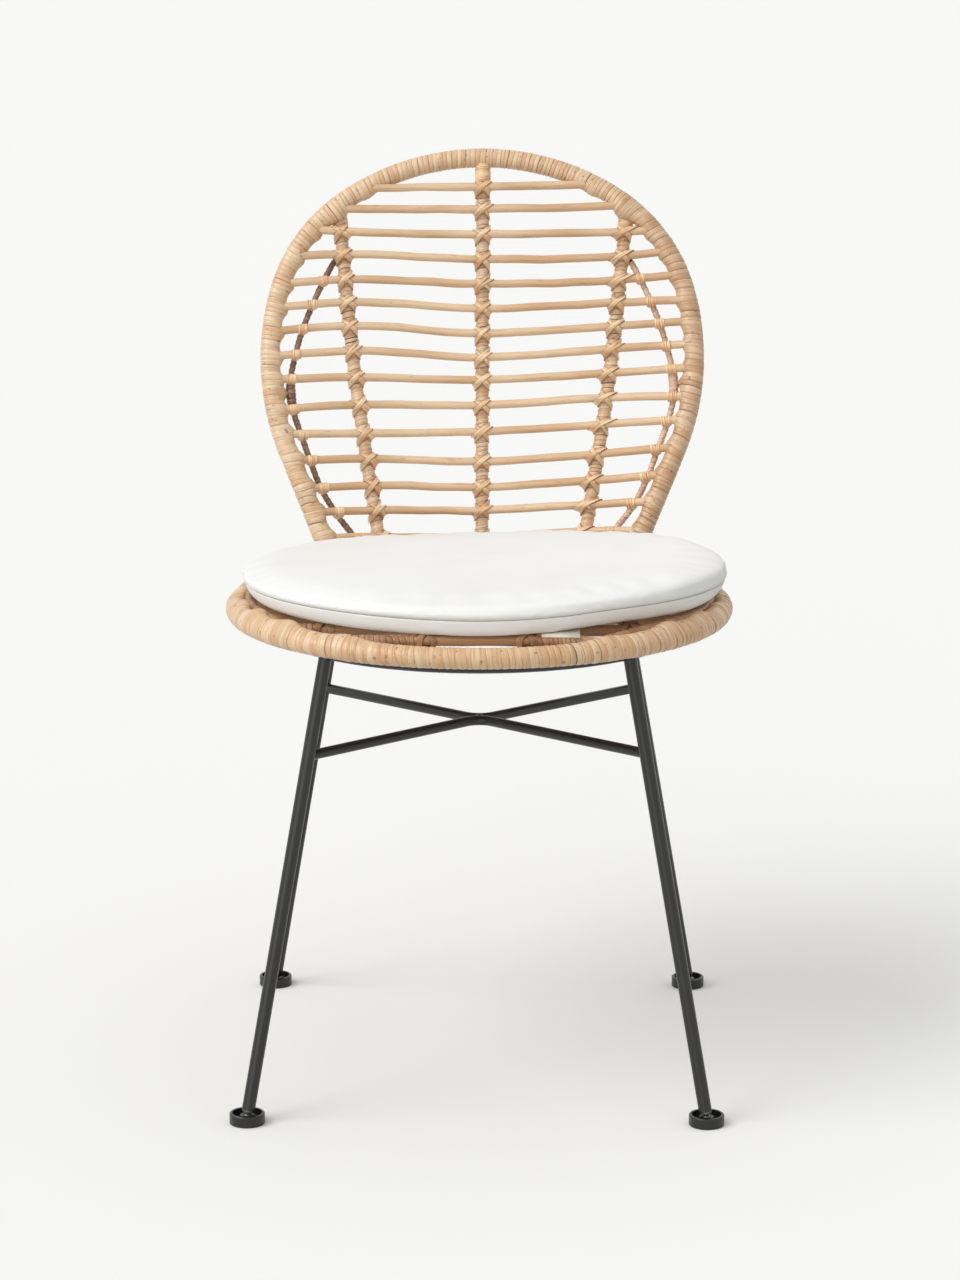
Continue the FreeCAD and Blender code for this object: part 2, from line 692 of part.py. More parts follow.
def hoop_edges():
    """The hoop's centre line from its left foot over the top to its right foot."""
    spans = [(centre, radius, first, last, 1) for centre, radius, first, last in HOOP_ARCS[1:]]
    top_centre, top_radius, _, top_turn = HOOP_ARCS[0]

    def on_span(centre, radius, angle, side):
        return on_hoop(side * (centre[0] + radius * math.sin(angle)), centre[1] + radius * math.cos(angle))

    sides = {}
    for side in (-1, 1):
        parts = []
        for centre, radius, first, last, _ in spans:
            middle = (first + last) / 2
            parts.append(arc(*(on_span(centre, radius, angle, side) for angle in (first, middle, last))))
        centre, radius, _, last = HOOP_ARCS[-1]
        parts.append(line(on_span(centre, radius, last, side), on_hoop(side * HOOP_FOOT, 0)))
        sides[side] = parts
    left, middle, right = (on_span(top_centre, top_radius, angle, 1) for angle in (-top_turn, 0, top_turn))
    return list(reversed(sides[-1])) + [arc(left, middle, right)] + sides[1]


hoop_path = Part.Wire(Part.__sortEdges__(hoop_edges()))
hoop_core = bar(hoop_path, size("hoop_tube"))
hoop_bore = bar(hoop_path, size("hoop_tube") - size("tube_wall"))
hoop_outer = bar(hoop_path, RING_OUTER)
hoop_room = bar(hoop_path, RING_OUTER + size("cane_gap"))
hoop_open = bar(hoop_path, size("hoop_tube") + size("fit_gap"))
keep("hoop_core", feature("hoop_core", hoop_core.cut([hoop_bore, core_ring])))

# Uprights.


def between(table, height):
    """A smooth curve through a table of heights and distances."""
    slopes = []
    for index in range(len(table)):
        low, high = table[max(index - 1, 0)], table[min(index + 1, len(table) - 1)]
        slopes.append((high[1] - low[1]) / (high[0] - low[0]))
    place = max(i for i in range(len(table) - 1) if i == 0 or table[i][0] <= height)
    (start, first), (end, last) = table[place], table[place + 1]
    span = end - start
    t = (height - start) / span
    rise = (2 * t**3 - 3 * t**2 + 1) * first + (3 * t**2 - 2 * t**3) * last
    bend = (t**3 - 2 * t**2 + t) * slopes[place] + (t**3 - t**2) * slopes[place + 1]
    return rise + bend * span


upright_feet = on_ring(size("upright_foot"))
upright_tops = hoop_at(size("upright_top")) + BEHIND * size("upright_top_setback")
UPRIGHT_TABLE = [
    (back_height(upright_feet), size("upright_foot")),
    (size("upright_middle_height"), size("upright_middle")),
    (back_height(upright_tops), size("upright_top")),
]


def upright_point(side, height):
    if side == 0:
        return on_back(0, height, 0)
    across = between(UPRIGHT_TABLE, height)
    return on_back(side * across, height, shell_depth(across, height))


def side_upright_path():
    heights = [90, 175, 255, 318]
    return smooth_path([upright_feet] + [upright_point(1, height) for height in heights] + [upright_tops])


right_path = side_upright_path()
middle_path = Part.Wire(line(BACK_START, hoop_at(0)))


def path_where(path, measure, target):
    """Where a measure of a path's points reaches a target, and the path's direction there."""
    for edge in path.OrderedEdges:
        low, high = edge.FirstParameter, edge.LastParameter
        below, above = measure(edge.valueAt(low)) - target, measure(edge.valueAt(high)) - target
        if abs(below) < 1e-6:
            return edge.valueAt(low), edge.tangentAt(low)
        if abs(above) < 1e-6:
            return edge.valueAt(high), edge.tangentAt(high)
        if below * above > 0:
            continue
        for _ in range(40):
            half = (low + high) / 2
            value = measure(edge.valueAt(half)) - target
            if value * below > 0:
                low = half
            else:
                high = half
        return edge.valueAt(low), edge.tangentAt(low)
    raise ValueError(f"the path does not reach {target}")


def path_point(path, height):
    """Where a path passes a height up the back, and its direction upwards there."""
    point, way = path_where(path, back_height, height)
    return point, way * (1 if way.dot(UP_BACK) > 0 else -1)


def cane_at(path, across):
    """Where a cane passes a distance from the middle, and its direction to the right there."""
    point, way = path_where(path, lambda place: place.x, across)
    return point, way * (1 if way.x > 0 else -1)


def flipped(vector, side):
    return Vector(vector.x * (side or 1), vector.y, vector.z)


def upright_at(side, height):
    path = right_path if side else middle_path
    point, way = path_point(path, height)
    return flipped(point, side), flipped(way, side)


# Back canes.

CANE_LIFT = UPRIGHT_OUTER + CANE + size("cane_gap")


def cane_over_upright(side, height):
    """The middle of a cane that lies on the front of an upright."""
    point, way = upright_at(side, height)
    if side == 0:
        return point - BEHIND * CANE_LIFT
    width = hoop_half_width(height)
    slope = 2 * (hoop_depth(height) + CANE_BOW) * abs(point.x) / width**2
    cane_way = (Vector(side, 0, 0) + BEHIND * slope).normalize()
    normal = cane_way.cross(way).normalize()
    if normal.dot(BEHIND) > 0:
        normal = normal * -1
    return point + normal * CANE_LIFT


def cane_on_hoop(side, height):
    return on_back(side * hoop_half_width(height), height, hoop_depth(height) - size("cane_setback"))


cane_paths = []
for height, left_end, left_rise, right_rise, right_end in BACK_CANES:
    places = [cane_on_hoop(-1, height + left_end)]
    if left_rise is not None:
        places.append(cane_over_upright(-1, height + left_rise))
    places.append(cane_over_upright(0, height))
    if right_rise is not None:
        places.append(cane_over_upright(1, height + right_rise))
    places.append(cane_on_hoop(1, height + right_end))
    cane_paths.append(smooth_path(places))

upright_room = {
    side: bar(middle_path if side == 0 else right_path, UPRIGHT_OUTER + size("cane_gap")) for side in (0, 1)
}
upright_room[-1] = mirrored(upright_room[1])

for index, path in enumerate(cane_paths):
    tools = [hoop_room]
    if index < SHORT_CANES:
        tools += [upright_room[-1], upright_room[1]]
    pieces = bar(path, CANE).cut(tools).Solids
    name = f"back_cane_{index + 1:02d}"
    keep(name, feature(name, max(pieces, key=lambda piece: piece.Volume)))

# Side ribs lie behind the canes.

RIB_LIFT = CANE + SIDE_RIB_OUTER + size("cane_gap")


def rib_crossings(side):
    """For each cane on a side rib: the cane's middle and direction, and the rib's middle."""
    found = []
    for path in cane_paths[FIRST_CANE_ON_RIBS:]:
        height = back_height(cane_at(path, 0)[0])
        for _ in range(6):
            point, cane_way = cane_at(path, side * between(SIDE_RIB, height))
            height = back_height(point)
        rise = (between(SIDE_RIB, height + 1) - between(SIDE_RIB, height - 1)) / 2
        inwards = hoop_depth(height + 1) - hoop_depth(height - 1)
        rib_way = (UP_BACK + Vector(side * rise, 0, 0) + BEHIND * inwards / 2).normalize()
        normal = cane_way.cross(rib_way).normalize()
        if normal.dot(BEHIND) < 0:
            normal = normal * -1
        found.append((point, cane_way, point + normal * RIB_LIFT))
    return found


crossings_on_ribs = {side: rib_crossings(side) for side in (-1, 1)}
rib_paths = {}
for side, found in crossings_on_ribs.items():
    middles = [rib for _, _, rib in reversed(found)]
    foot = on_ring(side * size("side_rib_foot"))
    last_height, last_across = SIDE_RIB[-1]
    upright, _ = upright_at(side, last_height)
    top = Vector(side * last_across, upright.y, upright.z)
    rib_paths[side] = smooth_path([foot] + middles + [top])

# Bindings, opened where rods pass through.

side_uprights = {1: right_path}
rods = {
    0: bar(middle_path, size("upright_rod")),
    1: bar(right_path, size("upright_rod")),
}
rods[-1] = mirrored(rods[1])
rod_room = {
    0: bar(middle_path, size("upright_rod") + size("fit_gap")),
    1: bar(right_path, size("upright_rod") + size("fit_gap")),
}
rod_room[-1] = mirrored(rod_room[1])
sleeves = {0: bar(middle_path, UPRIGHT_OUTER), 1: bar(right_path, UPRIGHT_OUTER)}
sleeves[-1] = mirrored(sleeves[1])
rib_room = {side: bar(path, size("side_rib_rod") + size("fit_gap")) for side, path in rib_paths.items()}

UPRIGHT_NAMES = {-1: "left", 0: "middle", 1: "right"}
for side, side_name in UPRIGHT_NAMES.items():
    rod = rods[side].cut([core_ring, hoop_core])
    keep(f"upright_{side_name}_rod", feature(f"upright_{side_name}_rod", rod))
    tools = [rod_room[side], outer_ring, hoop_room]
    if side:
        tools.append(rib_room[side])
    sleeve = max(sleeves[side].cut(tools).Solids, key=lambda piece: piece.Volume)
    keep(f"upright_{side_name}_binding", feature(f"upright_{side_name}_binding", sleeve))

for side, side_name in ((-1, "left"), (1, "right")):
    rod = bar(rib_paths[side], size("side_rib_rod")).cut([core_ring, rods[side]])
    rod = max(rod.Solids, key=lambda piece: piece.Volume)
    keep(f"side_rib_{side_name}_rod", feature(f"side_rib_{side_name}_rod", rod))
    sleeve = bar(rib_paths[side], SIDE_RIB_OUTER)
    sleeve = sleeve.cut([rib_room[side], outer_ring, upright_room[side]])
    sleeve = max(sleeve.Solids, key=lambda piece: piece.Volume)
    keep(f"side_rib_{side_name}_binding", feature(f"side_rib_{side_name}_binding", sleeve))

hoop_sleeve = hoop_outer.cut([hoop_open, outer_ring] + list(rod_room.values()))
hoop_sleeve = max(hoop_sleeve.Solids, key=lambda piece: piece.Volume)
keep("hoop_binding", feature("hoop_binding", hoop_sleeve))
openings = [hoop_open] + list(rod_room.values()) + list(rib_room.values())
openings += [straight_bar(*seat_rib_ends(across), size("seat_rib_rod") + size("fit_gap")) for across in SEAT_RIBS]
ring_sleeve = ring_bar(RING_OUTER).cut([ring_bar(size("ring_tube") + size("fit_gap"))] + openings)
keep("seat_ring_binding", feature("seat_ring_binding", ring_sleeve))

# Lashings: crossed strips that hold a cane on a rod.


def block_round(radius, reach):
    """What is left of a block in front of a bar: it trims a strip to the bar's roundness."""
    block = Part.makeBox(4 * reach, 4 * reach, 2 * radius, Vector(-2 * reach, -2 * reach, 0))
    return block.cut(Part.makeCylinder(radius, 6 * reach, Vector(-3 * reach, 0, 0), Vector(1, 0, 0)))


def crossed_strips(width, reach):
    """The plan of two strips that cross, as corners in order."""
    half, corners = width / 2, []
    for quarter in range(4):
        for across, along in ((reach, -half), (reach, half), (half, half)):
            turn = math.pi / 4 + quarter * math.pi / 2
            x = across * math.cos(turn) - along * math.sin(turn)
            y = across * math.sin(turn) + along * math.cos(turn)
            corners.append((x, y))
    return corners


LASHING_STEP = 1.5
lashing_shapes = {}


def lashing_shape(slant, rod_radius, width, reach):
    """Strips round a rod that runs along Y and a slanted cane in front of it, above along Z."""
    room, thick = size("lashing_gap"), size("strip_thickness")
    lift = rod_radius + CANE + size("cane_gap")
    cane_way = Vector(math.cos(slant), math.sin(slant), 0)
    first = (cane_way + Vector(1, 0, 0)).normalize()
    second = Vector(-first.y, first.x, 0)
    back, front = -(rod_radius + room + thick), lift + CANE + room + thick
    points = [first * x + second * y + Vector(0, 0, back) for x, y in crossed_strips(width, reach)]
    solid = Part.Face(Part.makePolygon(points + [points[0]])).extrude(Vector(0, 0, front - back))
    front_block = block_round(CANE + room + thick, reach)
    front_block.Placement = Placement(Vector(0, 0, lift), Rotation(Vector(0, 0, 1), math.degrees(slant)))
    back_block = block_round(rod_radius + room + thick, reach)
    back_block.Placement = Placement(Vector(), Rotation(Vector(0, 1, 0), Vector(1, 0, 0), Vector(0, 0, -1), "ZXY"))
    above = Vector(0, 0, lift)
    cane_bar = straight_bar(above - cane_way * 3 * reach, above + cane_way * 3 * reach, CANE + room)
    along = Vector(0, 3 * reach, 0)
    rod_bar = straight_bar(-along, along, rod_radius + room)
    pieces = solid.cut([front_block, back_block, cane_bar, rod_bar]).Solids
    return max(pieces, key=lambda piece: piece.Volume)


def lashing(cane_middle, cane_way, rod_middle, rod_way, rod_radius, width, reach):
    """One solid: strips round a cane and the rod behind it."""
    normal = (cane_middle - rod_middle).normalize()
    rod_way = (rod_way - normal * rod_way.dot(normal)).normalize()
    across = rod_way.cross(normal)
    if cane_way.dot(across) < 0:
        cane_way = cane_way * -1
    slant = math.degrees(math.atan2(cane_way.dot(rod_way), cane_way.dot(across)))
    step = round(slant / LASHING_STEP)
    key = (step, rod_radius, width)
    if key not in lashing_shapes:
        lashing_shapes[key] = lashing_shape(math.radians(step * LASHING_STEP), rod_radius, width, reach)
    knot = lashing_shapes[key].copy()
    knot.Placement = Placement(rod_middle, Rotation(across, rod_way, normal, "ZYX"))
    return knot


WIDE = (size("strip_width"), size("strip_reach"))
THIN = (size("thin_strip_width"), size("thin_strip_reach"))
rib_bars = {side: bar(path, SIDE_RIB_OUTER + size("lashing_gap")) for side, path in rib_paths.items()}
for side, side_name in UPRIGHT_NAMES.items():
    knots = []
    for index, (path, row) in enumerate(zip(cane_paths, BACK_CANES)):
        rise = (row[2], 0, row[3])[side + 1]
        if rise is None:
            continue
        point, way = upright_at(side, row[0] + rise)
        cane_middle, cane_way = cane_at(path, cane_over_upright(side, row[0] + rise).x)
        knot = lashing(cane_middle, cane_way, point, way, UPRIGHT_OUTER, *WIDE)
        if side and index == FIRST_CANE_ON_RIBS - 1:
            knot = max(knot.cut([rib_bars[side]]).Solids, key=lambda piece: piece.Volume)
        knots.append(knot)
    compound(f"lashings_{side_name}", knots)

# A side rib bends within its lashings, so each is trimmed to the rib.
knots = []
for side, found in crossings_on_ribs.items():
    bent_rib = bar(rib_paths[side], SIDE_RIB_OUTER + size("lashing_gap") / 2)
    for cane_middle, cane_way, rib in found:
        way = path_point(rib_paths[side], back_height(rib))[1]
        knot = lashing(cane_middle, cane_way, rib, way, SIDE_RIB_OUTER, *THIN).cut([bent_rib])
        knots.append(max(knot.Solids, key=lambda piece: piece.Volume))
compound("lashings_side_ribs", knots)

knots = []
for middle, reach in cane_rows:
    for across in SEAT_RIBS:
        if abs(across) < reach:
            cane_middle = middle + Vector(across, 0, 0)
            rib = Vector(across, middle.y, SEAT_RIB_HEIGHT)
            knots.append(lashing(cane_middle, Vector(1, 0, 0), rib, Vector(0, 1, 0), SEAT_RIB_OUTER, *WIDE))
compound("seat_lashings", knots)


# Wraps at the hoop.


def wrap_round(point, way, radius, length):
    """A short sleeve round a rod."""
    start = point - way * (length / 2)
    inner, outer = radius + size("lashing_gap"), radius + size("lashing_gap") + size("strip_thickness")
    return Part.makeCylinder(outer, length, start, way).cut(Part.makeCylinder(inner, length, start, way))


wraps = []
top_canes = [bar(path, CANE + size("lashing_gap")) for path in cane_paths[:SHORT_CANES]]
for side in (-1, 0, 1):
    top = hoop_at(0) if side == 0 else flipped(upright_tops, side)
    point, way = upright_at(side, back_height(top) - RING_OUTER - size("wrap_length") * 0.9)
    sleeve = wrap_round(point, way, UPRIGHT_OUTER, size("wrap_length"))
    wraps.append(max(sleeve.cut([hoop_room] + top_canes).Solids, key=lambda piece: piece.Volume))


def rib_tie(side):
    """A band round the hoop and a side rib together."""
    height = size("rib_tie_left" if side < 0 else "rib_tie_right")
    hoop_middle = on_back(side * hoop_half_width(height), height, hoop_depth(height))
    rib, way = path_point(rib_paths[side], height)
    room, thick = size("lashing_gap"), size("strip_thickness")
    across = rib - hoop_middle
    across = (across - way * across.dot(way)).normalize()
    distance = (rib - hoop_middle).dot(across)
    deep = way.cross(across)
    big, small = RING_OUTER + room + thick, SIDE_RIB_OUTER + room + thick
    lean = math.acos((big - small) / distance)
    start = hoop_middle - way * (size("strip_width") / 2)

    def rim(centre, radius, angle):
        return start + across * (centre + radius * math.cos(angle)) + deep * (radius * math.sin(angle))

    edges = [
        arc(rim(0, big, lean), rim(0, big, math.pi), rim(0, big, -lean)),
        line(rim(0, big, -lean), rim(distance, small, -lean)),
        arc(rim(distance, small, -lean), rim(distance, small, 0), rim(distance, small, lean)),
        line(rim(distance, small, lean), rim(0, big, lean)),
    ]
    band = Part.Face(Part.Wire(edges)).extrude(way * size("strip_width"))
    reach = way * (2 * size("strip_width"))
    rib_bar = straight_bar(rib - reach, rib + reach, SIDE_RIB_OUTER + room)
    return band.cut([bar(hoop_path, RING_OUTER + room), rib_bar])


wraps += [rib_tie(side) for side in (-1, 1)]
compound("hoop_wraps", wraps)

# Cushion.

CUSHION_BASE = SEAT_HEIGHT + size("seat_cane_height") + CANE + size("cushion_gap")
CUSHION_MIDDLE = Vector(size("cushion_offset"), SEAT_Y - size("cushion_forward"), CUSHION_BASE)
LOWER_PROFILE = [(9, 0), (5, 0.06), (2.5, 0.17), (0.8, 0.36), (0, 0.65), (0.3, 0.85), (1.5, 1)]
UPPER_PROFILE = [(1.5, 0), (3.4, 0.17), (6.5, 0.35), (12, 0.53), (21, 0.69), (38, 0.82), (66, 0.92), (110, 0.98), (160, 1)]


def oval(half_width, half_depth, height):
    """Four arcs, each of a quarter turn."""
    shift = (half_width - half_depth) / (2 - math.sqrt(2))
    corner = math.sqrt(0.5)
    end_radius = half_width - shift
    x = shift + end_radius * corner
    y = end_radius * corner
    place = CUSHION_MIDDLE + Vector(0, 0, height)

    def at(x, y):
        return place + Vector(x, y, 0)

    return Part.Wire([
        arc(at(x, -y), at(half_width, 0), at(x, y)),
        arc(at(x, y), at(0, half_depth), at(-x, y)),
        arc(at(-x, y), at(-half_width, 0), at(-x, -y)),
        arc(at(-x, -y), at(0, -half_depth), at(x, -y)),
    ])


def cushion_half(profile, low, high, inset):
    sections = []
    for drawn_in, share in profile:
        half_width = size("cushion_width") / 2 - drawn_in - inset
        half_depth = size("cushion_depth") / 2 - drawn_in - inset
        sections.append(oval(half_width, half_depth, low + (high - low) * share))
    return Part.makeLoft(sections, True, True)


def cushion_solid(inset):
    seam, crown = size("cushion_seam"), size("cushion_crown")
    lower = cushion_half(LOWER_PROFILE, inset, seam, inset)
    upper = cushion_half(UPPER_PROFILE, seam, crown - inset, inset)
    return lower, upper


outer_lower, outer_upper = cushion_solid(0)
inner_lower, inner_upper = cushion_solid(size("cover_cloth"))
foam_lower, foam_upper = cushion_solid(size("cover_cloth") + size("cover_gap"))
keep("cushion_base_cover", feature("cushion_base_cover", outer_lower.cut(inner_lower)))
keep("cushion_top_cover", feature("cushion_top_cover", outer_upper.cut(inner_upper)))
keep("cushion_foam", feature("cushion_foam", foam_lower.fuse(foam_upper)))

# Straps.

strap_inner = CANE + size("strap_gap")
strap_outer = strap_inner + size("strap_thickness")
first_row = cane_rows[0][0]
strap_start = first_row + Vector(size("front_strap_across") - size("front_strap_width") / 2, 0, 0)
loop = Part.makeCylinder(strap_outer, size("front_strap_width"), strap_start, Vector(1, 0, 0))
loop = loop.cut(Part.makeCylinder(strap_inner, size("front_strap_width"), strap_start, Vector(1, 0, 0)))
above = Part.makeBox(200, 60, 20, Vector(strap_start.x - 50, strap_start.y - 30, first_row.z + CANE - 0.2))
keep("strap_front", feature("strap_front", loop.cut(above)))

hoop_way = (on_hoop(HOOP_FOOT + 1 / math.tan(-HOOP_ARCS[-1][3]), 1) - on_hoop(HOOP_FOOT, 0)).normalize()
strap_middle = on_hoop(HOOP_FOOT, 0) + hoop_way * size("hoop_strap_height")
half = hoop_way * (size("hoop_strap_width") / 2)
inner, outer = RING_OUTER + size("strap_gap"), RING_OUTER + size("strap_gap") + size("strap_thickness")
loop = straight_bar(strap_middle - half, strap_middle + half, outer)
loop = loop.cut(straight_bar(strap_middle - half, strap_middle + half, inner))
keep("strap_hoop", feature("strap_hoop", loop))

# Checks, then one file for each sub-part.

doc.recompute()
for obj in doc.Objects:
    if "Invalid" in obj.State or "Error" in obj.State:
        raise RuntimeError(f"{obj.Label} is {obj.State}")
for name, obj in subparts.items():
    shape = obj.Shape
    if shape.isNull() or not shape.isValid() or not shape.Solids:
        raise RuntimeError(f"{name} is not a valid solid")
    shape.exportStep(f"parts/{name}.step")
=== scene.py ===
"""The looks of the rattan side chair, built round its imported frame.

Metres in Blender; the chair's own geometry is worked out in millimetres, as in the part's source.
-Y is the front, +X is on the right seen from the front, +Z is up.
"""

import json
import math

import bmesh
import bpy
import numpy as np
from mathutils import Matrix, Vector
from mathutils.bvhtree import BVHTree
from mathutils.kdtree import KDTree


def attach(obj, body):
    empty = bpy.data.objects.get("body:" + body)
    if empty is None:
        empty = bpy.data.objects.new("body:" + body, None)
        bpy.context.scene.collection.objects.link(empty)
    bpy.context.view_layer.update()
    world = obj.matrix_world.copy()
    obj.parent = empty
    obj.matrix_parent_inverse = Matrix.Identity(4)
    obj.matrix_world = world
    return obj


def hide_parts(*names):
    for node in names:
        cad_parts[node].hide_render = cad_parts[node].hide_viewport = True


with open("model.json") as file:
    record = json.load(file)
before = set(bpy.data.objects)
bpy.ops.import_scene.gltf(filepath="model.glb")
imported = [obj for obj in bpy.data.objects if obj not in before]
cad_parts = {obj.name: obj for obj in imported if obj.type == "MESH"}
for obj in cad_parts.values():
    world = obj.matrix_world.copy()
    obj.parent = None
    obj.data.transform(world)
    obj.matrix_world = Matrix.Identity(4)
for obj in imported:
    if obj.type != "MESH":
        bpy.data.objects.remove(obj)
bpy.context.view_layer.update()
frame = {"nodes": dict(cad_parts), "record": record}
MM = 0.001

# Sizes of the chair in millimetres. Angles are in radians.

SEAT_HEIGHT = 434.0
RING_RADIUS = 225.5
# Radii of what the strips wind on, strips included: ring and hoop, uprights, side ribs and seat ribs.
BOUND = 9.5
UPRIGHT = 6.5
SIDE_RIB = 3.1
SEAT_RIB = 5.0
# Radii of canes: in the back, in the part's source, in the seat, and the first one in the seat.
CANE = 4.1
SOURCE_CANE = 4.7
SEAT_CANE = 5.3
FRONT_SEAT_CANE = 5.1
CANE_GAP = 0.12
SEAT_RIBS = (-136.0, -44.5, 44.5, 136.0)
SEAT_CANE_COUNT = 9
SEAT_CANE_HEIGHT = 8.0
SEAT_CANE_PITCH = 48.0
SEAT_CANE_REACH = 218.0
LEAN = math.radians(16)
HOOP_LENGTH = 414.5
# The hoop's bends from its top down: radius, and how far it has turned at the end of each.
HOOP_BENDS = ((235.0, math.radians(35)), (166.0, math.radians(75)), (256.0, math.radians(112.2)))
UPRIGHT_FOOT, UPRIGHT_TOP = 97.0, 143.0
# Here and in the side ribs' line: height up the back, and how far out from the middle.
UPRIGHT_MIDDLE = (175.0, 125.0)
UPRIGHT_HEIGHTS = (90, 175, 255, 318)
TOP_SETBACK = 3.0
CANE_SETBACK = 3.5
# From the middle line of an upright to that of a cane on it, and from a cane to a side rib behind it.
CANE_LIFT = 11.82
RIB_LIFT = 8.0
RIB_FOOT = 113.0
RIB_LINE = [(23, 125), (59, 151), (106, 170.5), (160, 187), (212, 180), (260, 163), (297, 145)]
TIE_LEFT, TIE_RIGHT = 159.0, 170.0
# Height of each back cane at the middle upright, then how much higher it is at its left end,
# at the left upright, at the right upright and at its right end.
BACK_CANES = [
    (367.0, -1, None, None, 3),
    (344.5, 1, None, None, 5),
    (319.5, 4, 3, 3, 4),
    (294.5, 2, 4, 3, 8),
    (270.0, -1, 3, 3, 9),
    (245.5, -1, 5, 5, 8),
    (221.0, -1, 6, 6.5, 11),
    (197.0, -2, 5, 7.5, 12),
    (174.5, -2, 1, 6, 11),
    (149.5, -8, -1, 6.5, 7),
    (123.5, -6, -4, 5.5, 10),
    (94.0, -2, 0, 5.5, 12),
    (68.5, -5, -1, 4.5, 10),
    (45.5, -6, -3, 3, 6),
    (18.5, -4, -3, 3, 4),
]
FIRST_ON_RIBS = 4
MIRROR = (-1, 1, 1)


def vec(x, y, z):
    return np.array([x, y, z], float)


def unit(v):
    return v / np.linalg.norm(v)


def with_way(way, wanted):
    """A direction, turned back to front where it points away from the wanted one."""
    return way * (-1 if way @ wanted < 0 else 1)


def round_angles(count):
    return np.linspace(0, 2 * math.pi, count, endpoint=False)


# The hoop and the back, as the part's source sets them out.

HOOP_ARCS = []
_across, _along, _turned = 0.0, HOOP_LENGTH, 0.0
for _radius, _turn in HOOP_BENDS:
    _centre = (_across - _radius * math.sin(_turned), _along - _radius * math.cos(_turned))
    HOOP_ARCS.append((_centre, _radius, _turned, _turn))
    _across = _centre[0] + _radius * math.sin(_turn)
    _along = _centre[1] + _radius * math.cos(_turn)
    _turned = _turn
HOOP_FOOT = _across + _along / math.tan(_turned)
HOOP_STEP = RING_RADIUS - math.sqrt(RING_RADIUS**2 - HOOP_FOOT**2)
EXTRA_LEAN = math.asin(HOOP_STEP * math.cos(LEAN) / HOOP_LENGTH)
HOOP_LEAN = LEAN + EXTRA_LEAN
SEAT_Y = -(HOOP_LENGTH * math.sin(HOOP_LEAN) - HOOP_STEP) / 2
SEAT_MIDDLE = vec(0, SEAT_Y, SEAT_HEIGHT)
BACK_START = SEAT_MIDDLE + vec(0, RING_RADIUS, 0)
UP_BACK = vec(0, math.sin(LEAN), math.cos(LEAN))
BEHIND = vec(0, math.cos(LEAN), -math.sin(LEAN))
UP_HOOP = vec(0, math.sin(HOOP_LEAN), math.cos(HOOP_LEAN))
CANE_BOW = CANE_LIFT - CANE_SETBACK


def on_back(across, height, depth):
    return BACK_START + vec(across, 0, 0) + UP_BACK * height + BEHIND * depth


def back_height(point):
    return float(np.dot(point - BACK_START, UP_BACK))


def on_hoop(across, along):
    return BACK_START + vec(across, -HOOP_STEP, 0) + UP_HOOP * along


def on_ring(across):
    return SEAT_MIDDLE + vec(across, math.sqrt(RING_RADIUS**2 - across**2), 0)


def hoop_half_width(height):
    along = (height + HOOP_STEP * math.sin(LEAN)) / math.cos(EXTRA_LEAN)
    for centre, radius, start, end in HOOP_ARCS:
        cosine = (along - centre[1]) / radius
        if math.cos(end) <= cosine <= math.cos(start):
            return centre[0] + radius * math.sin(math.acos(cosine))
    return HOOP_FOOT - along / math.tan(HOOP_ARCS[-1][3])


def hoop_depth(height):
    return (height + HOOP_STEP * math.sin(LEAN)) * math.tan(EXTRA_LEAN) - HOOP_STEP * math.cos(LEAN)


def hoop_at(across):
    for centre, radius, start, end in HOOP_ARCS:
        sine = (abs(across) - centre[0]) / radius
        if math.sin(start) <= sine <= math.sin(end):
            return on_hoop(across, centre[1] + radius * math.cos(math.asin(sine)))


def hermite(t, start, end, leaving, arriving, span):
    """A smooth way from start to end, with the slopes that it leaves and arrives with."""
    return (
        (2 * t**3 - 3 * t**2 + 1) * start
        + (3 * t**2 - 2 * t**3) * end
        + ((t**3 - 2 * t**2 + t) * leaving + (t**3 - t**2) * arriving) * span
    )


def between(table, height):
    """The value at a height, on a smooth curve through the rows of a table."""
    slopes = []
    for i in range(len(table)):
        low, high = table[max(i - 1, 0)], table[min(i + 1, len(table) - 1)]
        slopes.append((high[1] - low[1]) / (high[0] - low[0]))
    place = max(i for i in range(len(table) - 1) if i == 0 or table[i][0] <= height)
    (start, first), (end, last) = table[place], table[place + 1]
    span = end - start
    return hermite((height - start) / span, first, last, slopes[place], slopes[place + 1], span)


def smooth_line(points, step=2.0):
    """Evenly spaced points on a smooth line through a few points."""
    points = [np.asarray(p, float) for p in points]
    ways = []
    for before, here, after in zip(points, points[1:], points[2:]):
        into, out = here - before, after - here
        ways.append(unit(into / np.dot(into, into) + out / np.dot(out, out)))
    if ways:
        first = unit(2 * unit(points[1] - points[0]) - ways[0])
        last = unit(2 * unit(points[-1] - points[-2]) - ways[-1])
        ways = [first] + ways + [last]
    else:
        ways = [unit(points[1] - points[0])] * 2
    dense = [points[0]]
    for start, end, leaving, arriving in zip(points, points[1:], ways, ways[1:]):
        span = np.linalg.norm(end - start)
        dense.extend(hermite(t, start, end, leaving, arriving, span) for t in np.linspace(0, 1, 25)[1:])
    return spaced(np.array(dense), step)


def lengths(points):
    return np.concatenate([[0], np.cumsum(np.linalg.norm(np.diff(points, axis=0), axis=1))])


def spaced(points, step):
    along = lengths(points)
    places = np.linspace(0, along[-1], max(4, int(along[-1] / step)))
    return np.stack([np.interp(places, along, points[:, k]) for k in range(3)], 1)


